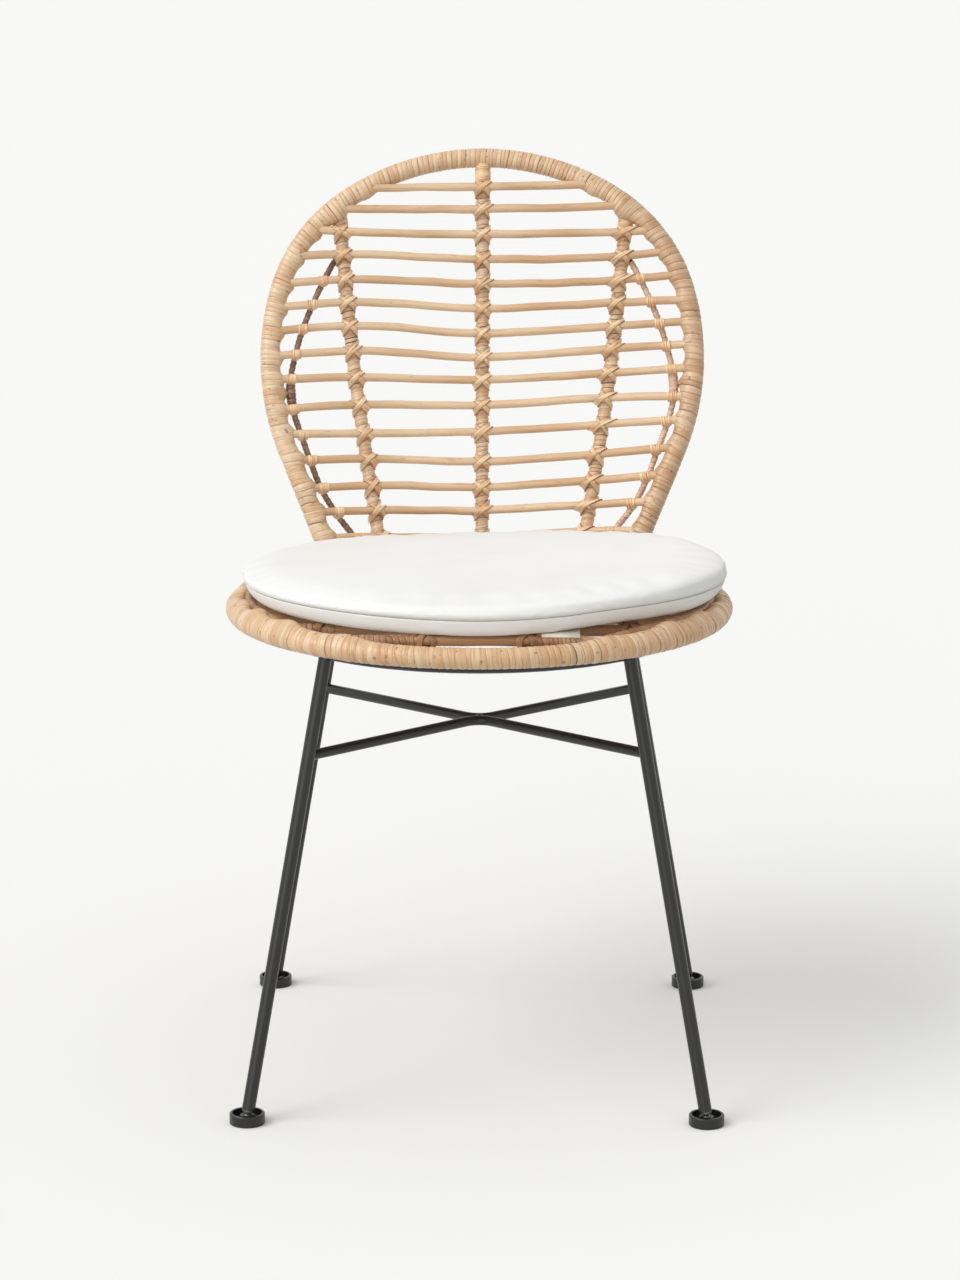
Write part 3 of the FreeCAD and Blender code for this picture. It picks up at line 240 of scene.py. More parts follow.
def where(line, values, target):
    """The point of a line at which a value reaches a target, and the direction there."""
    below = values - target
    i = int(np.argmax(below[:-1] * below[1:] <= 0))
    share = below[i] / (below[i] - below[i + 1]) if below[i] != below[i + 1] else 0
    low, high = max(i - 1, 0), min(i + 2, len(line) - 1)
    return line[i] + (line[i + 1] - line[i]) * share, unit(line[high] - line[low])


def hoop_line():
    half = []
    for centre, radius, start, end in HOOP_ARCS:
        for angle in np.linspace(start, end, 30):
            half.append(on_hoop(centre[0] + radius * math.sin(angle), centre[1] + radius * math.cos(angle)))
    half.append(on_hoop(HOOP_FOOT, 0))
    half = np.array(half)
    return spaced(np.concatenate([(half * MIRROR)[::-1], half[1:]]), 2.0)


HOOP = hoop_line()
_foot, _top = on_ring(UPRIGHT_FOOT), hoop_at(UPRIGHT_TOP) + BEHIND * TOP_SETBACK
UPRIGHT_LINE = [(back_height(_foot), UPRIGHT_FOOT), UPRIGHT_MIDDLE, (back_height(_top), UPRIGHT_TOP)]


def upright_point(height):
    across = between(UPRIGHT_LINE, height)
    share = across / hoop_half_width(height)
    return on_back(across, height, (hoop_depth(height) + CANE_BOW) * share**2)


RIGHT_UPRIGHT = smooth_line([_foot] + [upright_point(h) for h in UPRIGHT_HEIGHTS] + [_top])
UPRIGHTS = {-1: RIGHT_UPRIGHT * MIRROR, 0: smooth_line([BACK_START, hoop_at(0)]), 1: RIGHT_UPRIGHT}


def upright_at(side, height):
    line = UPRIGHTS[side]
    return where(line, (line - BACK_START) @ UP_BACK, height)


def cane_over_upright(side, height):
    point, way = upright_at(side, height)
    if side == 0:
        return point - BEHIND * CANE_LIFT
    slope = 2 * (hoop_depth(height) + CANE_BOW) * abs(point[0]) / hoop_half_width(height) ** 2
    normal = unit(np.cross(unit(vec(side, 0, 0) + BEHIND * slope), way))
    return point - with_way(normal, BEHIND) * CANE_LIFT


def cane_on_hoop(side, height):
    return on_back(side * hoop_half_width(height), height, hoop_depth(height) - CANE_SETBACK)


CANE_LINES = []
for _height, _left_end, _left, _right, _right_end in BACK_CANES:
    _places = [cane_on_hoop(-1, _height + _left_end)]
    if _left is not None:
        _places.append(cane_over_upright(-1, _height + _left))
    _places.append(cane_over_upright(0, _height))
    if _right is not None:
        _places.append(cane_over_upright(1, _height + _right))
    _places.append(cane_on_hoop(1, _height + _right_end))
    CANE_LINES.append(smooth_line(_places, 1.5))


def cane_at(line, across):
    return where(line, line[:, 0], across)


def rib_crossings(side):
    found = []
    for line in CANE_LINES[FIRST_ON_RIBS:]:
        height = back_height(cane_at(line, 0)[0])
        for _ in range(6):
            point, cane_way = cane_at(line, side * between(RIB_LINE, height))
            height = back_height(point)
        rise = (between(RIB_LINE, height + 1) - between(RIB_LINE, height - 1)) / 2
        inwards = (hoop_depth(height + 1) - hoop_depth(height - 1)) / 2
        rib_way = unit(UP_BACK + vec(side * rise, 0, 0) + BEHIND * inwards)
        normal = with_way(unit(np.cross(cane_way, rib_way)), BEHIND)
        found.append((point, cane_way, point + normal * RIB_LIFT, rib_way))
    return found


RIB_CROSSINGS = {side: rib_crossings(side) for side in (-1, 1)}
SIDE_RIBS = {}
for _side, _found in RIB_CROSSINGS.items():
    _upright = upright_at(_side, RIB_LINE[-1][0])[0]
    _end = vec(_side * RIB_LINE[-1][1], _upright[1], _upright[2])
    _behind = [crossing[2] for crossing in reversed(_found)]
    SIDE_RIBS[_side] = smooth_line([on_ring(_side * RIB_FOOT)] + _behind + [_end], 1.5)

# Finishes.


def new_node(tree, kind, settings=None, inputs=None):
    """One node. Its inputs are given by name or by place, as plain values or as wires."""
    node = tree.nodes.new(kind)
    for name, value in (settings or {}).items():
        setattr(node, name, value)
    for name, value in (inputs or {}).items():
        if isinstance(value, Wire):
            tree.links.new(value.socket, node.inputs[name])
        else:
            node.inputs[name].default_value = value
    return node


class Wire:
    """A value in a finish that Python's operators work on."""

    def __init__(self, tree, socket):
        self.tree, self.socket = tree, socket

    def math(self, operation, *others):
        inputs = dict(enumerate((self,) + others))
        node = new_node(self.tree, "ShaderNodeMath", {"operation": operation}, inputs)
        return Wire(self.tree, node.outputs[0])

    def __add__(self, other):
        return self.math("ADD", other)

    __radd__ = __add__

    def __sub__(self, other):
        return self.math("SUBTRACT", other)

    def __rsub__(self, other):
        return (self * -1) + other

    def __mul__(self, other):
        return self.math("MULTIPLY", other)

    def step(self, low, high):
        """0 under low, 1 over high, smooth between."""
        inputs = {"Value": self, "From Min": low, "From Max": high}
        node = new_node(self.tree, "ShaderNodeMapRange", {"interpolation_type": "SMOOTHSTEP"}, inputs)
        return Wire(self.tree, node.outputs["Result"])


def tint(*levels):
    """A colour as read off a screen, 0 to 255, as the linear colour that a shader takes."""
    linear = []
    for level in levels:
        share = level / 255
        linear.append(share / 12.92 if share <= 0.04045 else ((share + 0.055) / 1.055) ** 2.4)
    return (*linear, 1.0)


class Finish:
    """The nodes of a material, or of the room round the chair."""

    def __init__(self, owner):
        owner.use_nodes = True
        self.owner, self.tree = owner, owner.node_tree
        self.tree.nodes.clear()

    def add(self, kind, settings=None, output=0, **values):
        inputs = {name.replace("_", " "): value for name, value in values.items()}
        return Wire(self.tree, new_node(self.tree, kind, settings, inputs).outputs[output])

    def parts(self, wire):
        node = new_node(self.tree, "ShaderNodeSeparateXYZ", inputs={0: wire})
        return [Wire(self.tree, socket) for socket in node.outputs]

    def join(self, x, y, z):
        return self.add("ShaderNodeCombineXYZ", X=x, Y=y, Z=z)

    def mix(self, share, first, second):
        """Two colours mixed. The node has its colours in places 6 and 7, and their mix in place 2."""
        node = new_node(self.tree, "ShaderNodeMix", {"data_type": "RGBA"}, {0: share, 6: first, 7: second})
        return Wire(self.tree, node.outputs[2])

    def noise(self, place, scale, detail=2.0, roughness=0.5):
        return self.add("ShaderNodeTexNoise", Vector=place, Scale=scale, Detail=detail, Roughness=roughness)

    def place(self):
        return self.add("ShaderNodeTexCoord", output="Object")

    def ray(self, kind):
        """1 where a ray of that kind arrives."""
        return self.add("ShaderNodeLightPath", output=f"Is {kind} Ray")

    def laid(self):
        """Length along a strip or cane in metres, and the share across it."""
        return self.parts(self.add("ShaderNodeUVMap", {"uv_map": "laid"}))

    def bump(self, height, strength, distance):
        return self.add("ShaderNodeBump", Height=height, Strength=strength, Distance=distance)

    def end(self, kind, surface):
        new_node(self.tree, kind, inputs={"Surface": surface})
        return self.owner

    def done(self, **values):
        return self.end("ShaderNodeOutputMaterial", self.add("ShaderNodeBsdfPrincipled", **values))


def new_finish(name):
    return Finish(bpy.data.materials.new(name))


def rattan_skin(name, pale, warm, deep, seam_shade=0.85, seam_shade_from=0.35):
    """Glossy strip with its grain along it, and painted shade at its edges where the seams between turns
    lie.
    """
    f = new_finish(name)
    along, across, _ = f.laid()
    tone = f.noise(f.join(along * 16, across * 0.25, along * 0.7), 1.0, 2.0)
    colour = f.mix(tone.step(0.36, 0.64), pale, warm)
    fibres = f.noise(f.join(along * 26, across * 9, 0.0), 1.0, 4.0, 0.65)
    colour = f.mix(fibres.step(0.44, 0.72) * 0.75, colour, deep)
    marks = f.noise(f.join(along * 160, across * 2.0, 3.1), 1.0, 1.0)
    colour = f.mix(marks.step(0.67, 0.75) * 0.6, colour, tint(104, 68, 40))
    # Painted shade: the strip's edges darken towards deep brown in place of the shadow in the seams and
    # under knots.
    edge = (across - 0.5).math("ABSOLUTE").step(seam_shade_from, 0.5)
    colour = f.mix(edge * seam_shade, colour, tint(88, 50, 26))
    return f.done(
        Base_Color=colour,
        Roughness=0.3 + fibres * 0.22,
        Coat_Weight=0.35,
        Coat_Roughness=0.2,
        Normal=f.bump(fibres - marks.step(0.66, 0.75), 0.6, 0.0004),
    )


def peeled_cane(name, pale, warm, deep):
    """Smooth cane with fine dark flecks along it."""
    f = new_finish(name)
    along, across, _ = f.laid()
    tone = f.noise(f.join(along * 9, across * 0.8, 1.7), 1.0, 2.0)
    colour = f.mix(tone.step(0.35, 0.68), pale, warm)
    grain = f.noise(f.join(along * 34, across * 22, 0.0), 1.0, 4.0, 0.62)
    colour = f.mix(grain.step(0.47, 0.75) * 0.5, colour, deep)
    flecks = f.noise(f.join(along * 70, across * 26, 7.0), 1.0, 2.0)
    colour = f.mix(flecks.step(0.66, 0.74) * 0.7, colour, tint(112, 76, 46))
    return f.done(
        Base_Color=colour,
        Roughness=0.4 + grain * 0.22,
        Coat_Weight=0.18,
        Coat_Roughness=0.25,
        Normal=f.bump(grain, 0.35, 0.0003),
    )


def dark_surface(name, first, second, wear_scale, grain_scale, smooth, duller, depth):
    """Dark and half glossy, with a fine grain and duller where it is worn or smudged."""
    f = new_finish(name)
    place = f.place()
    grain = f.noise(place, grain_scale, 2.0)
    wear = f.noise(place, wear_scale, 3.0)
    colour = f.mix(wear, first, second)
    return f.done(Base_Color=colour, Roughness=smooth + wear * duller, Normal=f.bump(grain, depth, 0.0002))


def bright_steel(name, first, second):
    f = new_finish(name)
    stains = f.noise(f.place(), 160.0, 3.0)
    return f.done(Base_Color=f.mix(stains, first, second), Metallic=1.0, Roughness=0.3 + stains * 0.2)


def woven_cloth(name, pale, shade, thread=0.0009):
    """Plain weave, with painted shade in the groove of a seam."""
    f = new_finish(name)
    place = f.place()
    groove = f.laid()[1].step(0.35, 0.9)
    x, y, z = f.parts(place)
    wobble = f.noise(place, 45.0, 2.0) * 0.004
    period = 2 * math.pi / thread
    warp = ((x + wobble) * period).math("SINE")
    weft = ((y + z * 0.8 + wobble) * period).math("SINE")
    weave = warp * weft
    slubs = f.noise(f.join(x * 40, y * 260, z * 260), 1.0, 2.0)
    soft = f.noise(place, 9.0, 2.0)
    colour = f.mix(soft.step(0.3, 0.75) * 0.6, pale, shade)
    colour = f.mix((weave * 0.5 + 0.5) * 0.16 + slubs.step(0.6, 0.8) * 0.12, colour, shade)
    # Painted shade: darker along the seam, in place of the shadow in its groove.
    colour = f.mix(groove * 0.55, colour, tint(150, 140, 124))
    return f.done(
        Base_Color=colour,
        Roughness=0.88 + slubs * 0.1,
        Sheen_Weight=0.25,
        Sheen_Roughness=0.5,
        Normal=f.bump(weave * 0.5 + slubs, 0.25, 0.0003),
    )


RING_SKIN = rattan_skin("ring_skin", tint(233, 203, 165), tint(217, 175, 131), tint(169, 117, 73))
HOOP_SKIN = rattan_skin("hoop_skin", tint(236, 209, 174), tint(220, 180, 138), tint(174, 124, 80))
# A darker copy of the hoop's skin: painted shade for the hoop's right side, which faces away from the key
# light.
SHADED_HOOP_SKIN = rattan_skin(
    "shaded_hoop_skin", tint(217, 185, 149), tint(197, 155, 115), tint(151, 103, 63), 0.45, 0.3
)
# The uprights' and the ties' skins take strong painted shade at the strips' edges, for the dark seams and
# the shadows under the knots.
UPRIGHT_SKIN = rattan_skin(
    "upright_skin", tint(255, 230, 196), tint(236, 192, 148), tint(150, 94, 52), 1.0, 0.26
)
RIB_SKIN = rattan_skin("rib_skin", tint(236, 206, 178), tint(212, 170, 140), tint(160, 116, 88))
# Painted shade: the left side rib, which lies in the hoop's shadow, takes this dark copy of the rib's skin.
SHADED_RIB_SKIN = rattan_skin("shaded_rib_skin", tint(168, 132, 102), tint(122, 90, 68), tint(84, 58, 42))
TIE_SKIN = rattan_skin("tie_skin", tint(250, 220, 178), tint(234, 190, 144), tint(184, 128, 82), 0.9, 0.41)
# A dark brown copy of the rattan skin for the seat's strips under and round the cushion: painted shade of
# the cushion's shadow.
SEAT_PAINTED_SHADE_SKIN = rattan_skin(
    "seat_painted_shade_skin", tint(178, 132, 90), tint(148, 100, 60), tint(104, 64, 34), 0.9, 0.4
)
CANE_FINISH = peeled_cane("cane_finish", tint(229, 199, 163), tint(210, 170, 130), tint(167, 119, 79))
# A darker copy of the cane's finish for the seat's canes: painted shade of the cushion over them.
SEAT_CANE_PAINTED_SHADE = peeled_cane("seat_cane_painted_shade", tint(184, 138, 96), tint(156, 108, 68), tint(116, 74, 42))
STEEL = dark_surface("black_steel", tint(24, 24, 23), tint(35, 34, 33), 30.0, 900.0, 0.22, 0.14, 0.12)
GLIDE = dark_surface("moulded_black", tint(22, 22, 22), tint(31, 31, 30), 60.0, 1400.0, 0.24, 0.2, 0.1)
ZINC = bright_steel("zinc", tint(112, 112, 110), tint(78, 78, 76))
DARK_BOLT = bright_steel("dark_bolt", tint(70, 70, 70), tint(50, 50, 50))
CLOTH = woven_cloth("cushion_cloth", tint(247, 248, 246), tint(240, 239, 234))
WEBBING = woven_cloth("strap_cloth", tint(243, 238, 226), tint(230, 222, 204), 0.0014)
FOAM = woven_cloth("foam_skin", tint(236, 226, 190), tint(220, 208, 168), 0.002)

# Making of meshes.

# The body that every piece but the cushion rides on.
ROOT = "frame"
# Angle in degrees over which an edge between faces stays sharp.
SHARP = 50


def put(name, data):
    """A new object in the scene."""
    obj = bpy.data.objects.new(name, data)
    bpy.context.scene.collection.objects.link(obj)
    return obj


def smoothed(mesh, sharp=None):
    """Turns the faces outwards and shades them smooth, with sharp edges where an angle is given."""
    whole = bmesh.new()
    whole.from_mesh(mesh)
    bmesh.ops.recalc_face_normals(whole, faces=whole.faces)
    whole.to_mesh(mesh)
    whole.free()
    if sharp is not None:
        mesh.set_sharp_from_angle(angle=math.radians(sharp))
    for polygon in mesh.polygons:
        polygon.use_smooth = True


class Shape:
    """Grids of points gathered into one mesh."""

    def __init__(self):
        self.points, self.faces, self.laid, self.count = [], [], [], 0

    def grid(self, points, along, across, loop=False):
        """Rows of points, each row a closed outline. Two numbers are laid on each corner of a face."""
        rows, columns = points.shape[:2]
        index = np.arange(rows * columns).reshape(rows, columns) + self.count
        if loop:
            index = np.concatenate([index, index[:1]])
        for j in range(columns):
            k = (j + 1) % columns
            quads = np.stack([index[:-1, j], index[1:, j], index[1:, k], index[:-1, k]], 1)
            self.faces.extend(quads.tolist())
            u = np.stack([along[:-1, j], along[1:, j], along[1:, j + 1], along[:-1, j + 1]], 1)
            v = np.stack([across[:-1, j], across[1:, j], across[1:, j + 1], across[:-1, j + 1]], 1)
            self.laid.extend(np.stack([u, v], 2).reshape(-1, 2).tolist())
        if not loop:
            for row, order in ((0, 1), (rows - 1, -1)):
                self.faces.append(index[row][::order].tolist())
                values = np.stack([along[row, :columns], across[row, :columns]], 1)[::order]
                self.laid.extend(values.tolist())
        self.points.append(points.reshape(-1, 3))
        self.count += rows * columns

    def piece(self, name, finish, body, replaces=()):
        mesh = bpy.data.meshes.new(name)
        mesh.from_pydata((np.concatenate(self.points) * MM).tolist(), [], self.faces)
        layer = mesh.uv_layers.new(name="laid")
        layer.data.foreach_set("uv", np.array(self.laid, np.float32).ravel())
        mesh.materials.append(finish)
        obj = put(name, mesh)
        smoothed(mesh, SHARP)
        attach(obj, body)
        if replaces:
            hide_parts(*replaces)


def frames(line, start_out):
    """Two directions across a line that turn with it as little as they can."""
    ways = np.gradient(line, axis=0)
    ways /= np.linalg.norm(ways, axis=1)[:, None]
    out = start_out - ways[0] * (start_out @ ways[0])
    outs = []
    for way in ways:
        out = unit(out - way * (out @ way))
        outs.append(out)
    return np.array(outs), np.cross(ways, outs)


def at(line_values, along, places):
    """Values of a line, read at places along it."""
    flat = places.ravel()
    found = np.stack([np.interp(flat, along, line_values[:, k]) for k in range(3)], 1)
    return found.reshape(*places.shape, 3)


# Across a strip: shares of its width, how its lower edge turns down, and how its middle stands up.
STRIP_SHARES = np.array([0, 0.04, 0.16, 0.5, 0.84, 0.96, 1])
LOW_EDGE = np.array([-0.8, -0.3, -0.06, 0, 0, 0, 0])
CROWN = np.array([0, 0, 0, 0.05, 0, 0, 0])
# A strip's top, its two under corners, and the first point again.
STRIP_COLUMNS = len(STRIP_SHARES) + 3
STRIP_SUNK = 0.05
LIFT_STRAY = 0.16
NARROWEST_STRIP = 0.15


def nearest(line, place):
    return int(np.argmin(np.linalg.norm(line - place, axis=1)))


def swelling(line, place, toward, height, spread, sharp=2.0):
    """Where a binding swells over what it ties in: place along the line, direction, height and spread."""
    return lengths(line)[nearest(line, place)], unit(toward), height, spread, sharp


def wound(shape, line, radius, width, seed, out=vec(0, 0, 1), hand=1, thick=1.7, closed=None, shingle=0.3,
          ragged=0.14, sway=0.08, steps=22, start=0.0, end=None, swellings=()):
    """One strip wound round a line in many turns, each turn a little different."""
    chance = np.random.default_rng(seed)
    outs, sides = frames(line, out) if closed is None else closed
    along = lengths(line)
    end = along[-1] if end is None else end
    widths = []
    while sum(widths) < end - start + 4 * width:
        widths.append(width * (1 + ragged * chance.uniform(-1, 1)))
    seams = np.concatenate([[0], np.cumsum(widths)]) + start - width
    count = int(np.searchsorted(seams, end))
    turns = np.linspace(0, count - 0.001, count * steps)
    numbers = np.arange(len(seams))
    swaying = chance.uniform(-1, 1, 4 * len(seams)) * width * sway
    heights = chance.uniform(-LIFT_STRAY, LIFT_STRAY, len(seams))
    tilts = chance.uniform(0.3, 1.0, len(seams)) * shingle
    depths = 0.3 + 0.7 * chance.uniform(0, 1, len(seams) + 1) ** 1.5

    def seam(turn):
        return np.interp(turn, numbers, seams) + np.interp(turn, np.arange(len(swaying)) / 4, swaying)

    low, high = seam(turns)[:, None], seam(turns + 1)[:, None]
    lift = np.interp(turns, numbers, heights)[:, None]
    tilt = np.interp(turns, numbers, tilts)[:, None]
    low_depth = np.interp(turns, numbers, depths[:-1])[:, None]
    high_depth = np.interp(turns + 1, numbers, depths[:-1])[:, None]
    places = np.clip(low + (high - low) * STRIP_SHARES, start, end)
    angle = (turns * 2 * math.pi * hand)[:, None]
    outwards = at(outs, along, places) * np.cos(angle)[..., None]
    outwards = outwards + at(sides, along, places) * np.sin(angle)[..., None]
    reach = radius - STRIP_SUNK + LOW_EDGE * low_depth + LOW_EDGE[::-1] * high_depth + CROWN + lift
    reach = reach + tilt * (STRIP_SHARES - 0.5)
    for place, toward, height, spread, sharp in swellings:
        facing = np.clip(outwards @ toward, 0, 1) ** sharp
        reach = reach + height * facing * np.exp(-(((places - place) / spread) ** 2))
    middle = at(line, along, places)
    top = middle + outwards * reach[..., None]
    under = (middle + outwards * (radius - thick))[:, [-1, 0]]
    points = np.concatenate([top, under], 1)
    shares = STRIP_SHARES - 0.5
    laid_across = 0.5 + shares * np.where(shares < 0, low_depth, high_depth)
    across = np.concatenate([laid_across, laid_across[:, -1:], laid_across[:, :1], laid_across[:, :1]], 1)
    laid = np.repeat((turns * 2 * math.pi * radius * MM + seed * 3.7)[:, None], STRIP_COLUMNS, 1)
    keep = (places[:, -1] - places[:, 0]) > NARROWEST_STRIP
    shape.grid(points[keep], laid[keep], across[keep])


def strip(name, skin, slot, replaced, line, radius, width, seed, **manner):
    """A piece that is one strip wound round one line."""
    shape = Shape()
    wound(shape, line, radius, width, seed, **manner)
    shape.piece(name, skin, ROOT, replaced)


CANE_SIDES = 18
CANE_WAVE_LENGTH = 22
CANE_THINNER, CANE_THICKER, CANE_STRAY = 0.22, 0.11, 0.45


def cane(shape, line, radius, seed):
    """A cane whose thickness and line waver a little."""
    chance = np.random.default_rng(seed)
    outs, sides = frames(line, vec(0, 0, -1))
    along = lengths(line)
    spots = np.linspace(0, along[-1], max(4, int(along[-1] / CANE_WAVE_LENGTH)))
    swell = np.interp(along, spots, chance.uniform(-CANE_THINNER, CANE_THICKER, len(spots)))
    stray = np.interp(along, spots, chance.uniform(-CANE_STRAY, CANE_STRAY, len(spots)))
    angle = round_angles(CANE_SIDES)
    out = outs[:, None, :] * np.cos(angle)[None, :, None] + sides[:, None, :] * np.sin(angle)[None, :, None]
    points = (line + outs * stray[:, None])[:, None, :] + out * (radius + swell)[:, None, None]
    laid = np.repeat((along * MM + seed * 2.3)[:, None], CANE_SIDES + 1, 1)
    across = np.repeat(np.linspace(0, 1, CANE_SIDES + 1)[None, :], len(line), 0)
    shape.grid(points, laid, across)


ROD_SIDES = 32


def rod(shape, line, radius):
    """A plain round rod along a line."""
    outs, sides = frames(line, vec(0, 0, 1))
    turn = round_angles(ROD_SIDES)[None, :, None]
    out = outs[:, None] * np.cos(turn) + sides[:, None] * np.sin(turn)
    unlaid = np.zeros((len(line), ROD_SIDES + 1))
    shape.grid(line[:, None] + radius * out, unlaid, unlaid)


# A tie's outline: share of its width, and height in strip thicknesses.
TIE_PROFILE = [
    (-0.5, -0.25), (-0.45, 0.25), (-0.22, 0.5), (0.22, 0.5),
    (0.45, 0.25), (0.5, -0.25), (0.42, -0.5), (-0.42, -0.5),
]
TIE_STEPS, TIE_SLANT = 44, 42
STEEPEST = 0.4


class Knot:
    """A bar that lies on the front of a rod, and the directions that a tie there follows."""

    def __init__(self, bar_middle, bar_way, bar_radius, rod_middle, rod_way, rod_radius):
        self.origin = rod_middle
        gap = float(np.linalg.norm(bar_middle - rod_middle))
        self.normal = unit(bar_middle - rod_middle)
        self.up = unit(rod_way - self.normal * (rod_way @ self.normal))
        self.across = np.cross(self.up, self.normal)
        bar_way = with_way(unit(bar_way - self.normal * (bar_way @ self.normal)), self.across)
        self.rounds = ((bar_way, bar_radius, gap), (self.up, rod_radius, 0.0))

    def turn(self, shape, slant, offset, width, thick, lift, seed):
        """One turn of a strip round the bar and the rod, on a slant, drawn tight on both."""
        slope = math.radians(slant)
        run = self.across * math.cos(slope) + self.up * math.sin(slope)
        off = np.cross(self.normal, run)
        angles = round_angles(TIE_STEPS)
        cosine, sine = np.cos(angles), np.sin(angles)
        columns = []
        for share, height in TIE_PROFILE:
            place = offset + share * width
            supports, spots = [], []
            for way, radius, depth in self.rounds:
                steep = way @ off
                steep = math.copysign(max(abs(steep), STEEPEST), steep)
                tall = radius + lift + thick * (0.5 + height)
                wide = radius / abs(steep) + tall - radius
                shift = place * (way @ run) / steep
                size = np.sqrt((wide * cosine) ** 2 + (tall * sine) ** 2)
                supports.append(shift * cosine + depth * sine + size)
                spots.append((shift + wide**2 * cosine / size, depth + tall**2 * sine / size))
            on_bar = supports[0] >= supports[1]
            x = np.where(on_bar, spots[0][0], spots[1][0])
            y = np.where(on_bar, spots[0][1], spots[1][1])
            columns.append(self.origin + off * place + x[:, None] * run + y[:, None] * self.normal)
        points = np.stack(columns, 1)
        girth = 2 * math.pi * self.rounds[1][1] * MM
        laid = np.linspace(0, 1, TIE_STEPS + 1) * girth * 1.6 + seed * 1.9
        laid = np.repeat(laid[:, None], len(TIE_PROFILE) + 1, 1)
        shares = np.array([share + 0.5 for share, _ in TIE_PROFILE] + [0.0])
        shape.grid(points, laid, np.repeat(shares[None, :], TIE_STEPS + 1, 0), loop=True)

    def crossed(self, shape, seed, width, count_over, thick):
        """Strips one way on top of one strip the other way."""
        chance = np.random.default_rng(seed)
        for layer, (way, count) in enumerate(((-1, 1), (1, count_over))):
            for k in range(count):
                offset = (k - (count - 1) / 2) * width * 0.86 + chance.uniform(-0.3, 0.3)
                tilt = way * (TIE_SLANT + chance.uniform(-5, 5) + 7 * (k - (count - 1) / 2))
                lift = 0.1 + layer * thick * 0.9 + 0.16 * k
                wide = width * chance.uniform(0.9, 1.08)
                self.turn(shape, tilt, offset, wide, thick, lift, seed + k + 10 * layer)


# The strip wound round the seat ring, which swells over the ends of what it ties in.

SIDE_WORDS = ((-1, "left"), (1, "right"))
SIDEWAYS = vec(1, 0, 0)
THREE_WORDS = ((-1, "left"), (0, "middle"), (1, "right"))
circle = np.linspace(0, 2 * math.pi, 720)
ring_out = np.stack([np.sin(circle), np.cos(circle), 0 * circle], 1)
ring_line = SEAT_MIDDLE + ring_out * RING_RADIUS
ring_ways = np.stack([np.cos(circle), -np.sin(circle), 0 * circle], 1)
ring_frames = (ring_out, np.cross(ring_ways, ring_out))

# Behind the seat's middle, negative in front of it. The rows further forward have lower knots.
FORWARD_ROWS = -100
KNOT_HEIGHT, FRONT_KNOT_HEIGHT, RIGHT_FRONT_KNOT_HEIGHT = 5.4, 4.0, 3.2
# Where the binding is thicker at each side of the front: out, behind the middle, height and spread.
THICKER_OUT, THICKER_BEHIND, THICKER_HEIGHT, THICKER_SPREAD = 184.0, -130.0, 5.0, 95.0
# Feet of hoop, side ribs and uprights, out from the middle.
RING_FEET = (-142.3, -RIB_FOOT, -UPRIGHT_FOOT, 0.0, UPRIGHT_FOOT, RIB_FOOT, 142.3)

seat_rows = []
ring_swellings = []
for row in range(SEAT_CANE_COUNT):
    behind = (row - SEAT_CANE_COUNT // 2) * SEAT_CANE_PITCH
    reach = math.sqrt((RING_RADIUS - 2.0) ** 2 - behind**2)
    radius, rise = (SEAT_CANE, 0.3) if row else (FRONT_SEAT_CANE, 0.8)
    middle = SEAT_MIDDLE + vec(0, behind, SEAT_CANE_HEIGHT + rise)
    seat_rows.append((middle, reach, radius))
    for side in (-1, 1):
        spot = vec(side * reach, middle[1], SEAT_HEIGHT)
        toward = unit(SEAT_MIDDLE - spot) * 0.65 + vec(0, 0, 0.75)
        spread = 9.0 + 10.0 * (behind / SEAT_CANE_REACH) ** 2
        height = KNOT_HEIGHT if behind > FORWARD_ROWS else FRONT_KNOT_HEIGHT
        if side > 0 and behind < 0:
            height = RIGHT_FRONT_KNOT_HEIGHT
        ring_swellings.append(swelling(ring_line, spot, toward, height, spread))
for side in (-1, 1):
    spot = SEAT_MIDDLE + vec(side * THICKER_OUT, THICKER_BEHIND, 0)
    toward = unit(SEAT_MIDDLE - spot) * 0.6 + vec(0, 0, 0.8)
    ring_swellings.append(swelling(ring_line, spot, toward, THICKER_HEIGHT, THICKER_SPREAD))
for across in RING_FEET:
    ring_swellings.append(swelling(ring_line, on_ring(across), vec(0, 0.1, 1), 4.0, 9.0))

strip("ring_binding", RING_SKIN, "binding_strip", ["seat_ring_binding"], ring_line, BOUND, 6.6, 11,
      closed=ring_frames, ragged=0.3, sway=0.16, shingle=0.6, swellings=ring_swellings)

# A dark strand along each inner side of the seat ring, whose colour is painted shade for the shadow between
# the cushion and the ring: first and last angle, reach, height and radius.

EDGE_STRANDS = {"left": (-40, 40, 213.0, 443.6, 4.0), "right": (-58, 44, 213.5, 444.2, 4.9)}
STRAND_STEPS, STRAND_DROP = 160, 4.0

for side, word in SIDE_WORDS:
    first, last, reach, height, radius = EDGE_STRANDS[word]
    turn = np.radians(np.linspace(first, last, STRAND_STEPS))
    bend = np.stack([side * np.cos(turn) * reach, np.sin(turn) * reach, 0 * turn + height], 1)
    line = vec(0, SEAT_Y, 0) + bend
    line[:, 2] -= STRAND_DROP * np.abs(np.linspace(-1, 1, STRAND_STEPS)) ** 6
    strip(f"seat_edge_strand_{word}", SEAT_PAINTED_SHADE_SKIN, "lashing_strip", [], spaced(line, 2.0), radius, 7.0,
          61 + side, ragged=0.35, sway=0.25, shingle=1.0)

# The strip wound round the hoop, which swells over the canes' ends and towards the side ribs.

# Height and spread of the swelling over the first cane's ends, the second's, and each other one's.
TOP_KNOTS = ((8.0, 8.0), (13.0, 11.0))
KNOT_HEIGHTS, KNOT_SPREAD = {-1: 4.6, 1: 3.2}, 6.5
TIE_SPREAD, TIE_SHARPNESS = 6.0, 6.0
# Points of a cane's line from its tip inwards to where its direction is taken.
INWARDS = 14

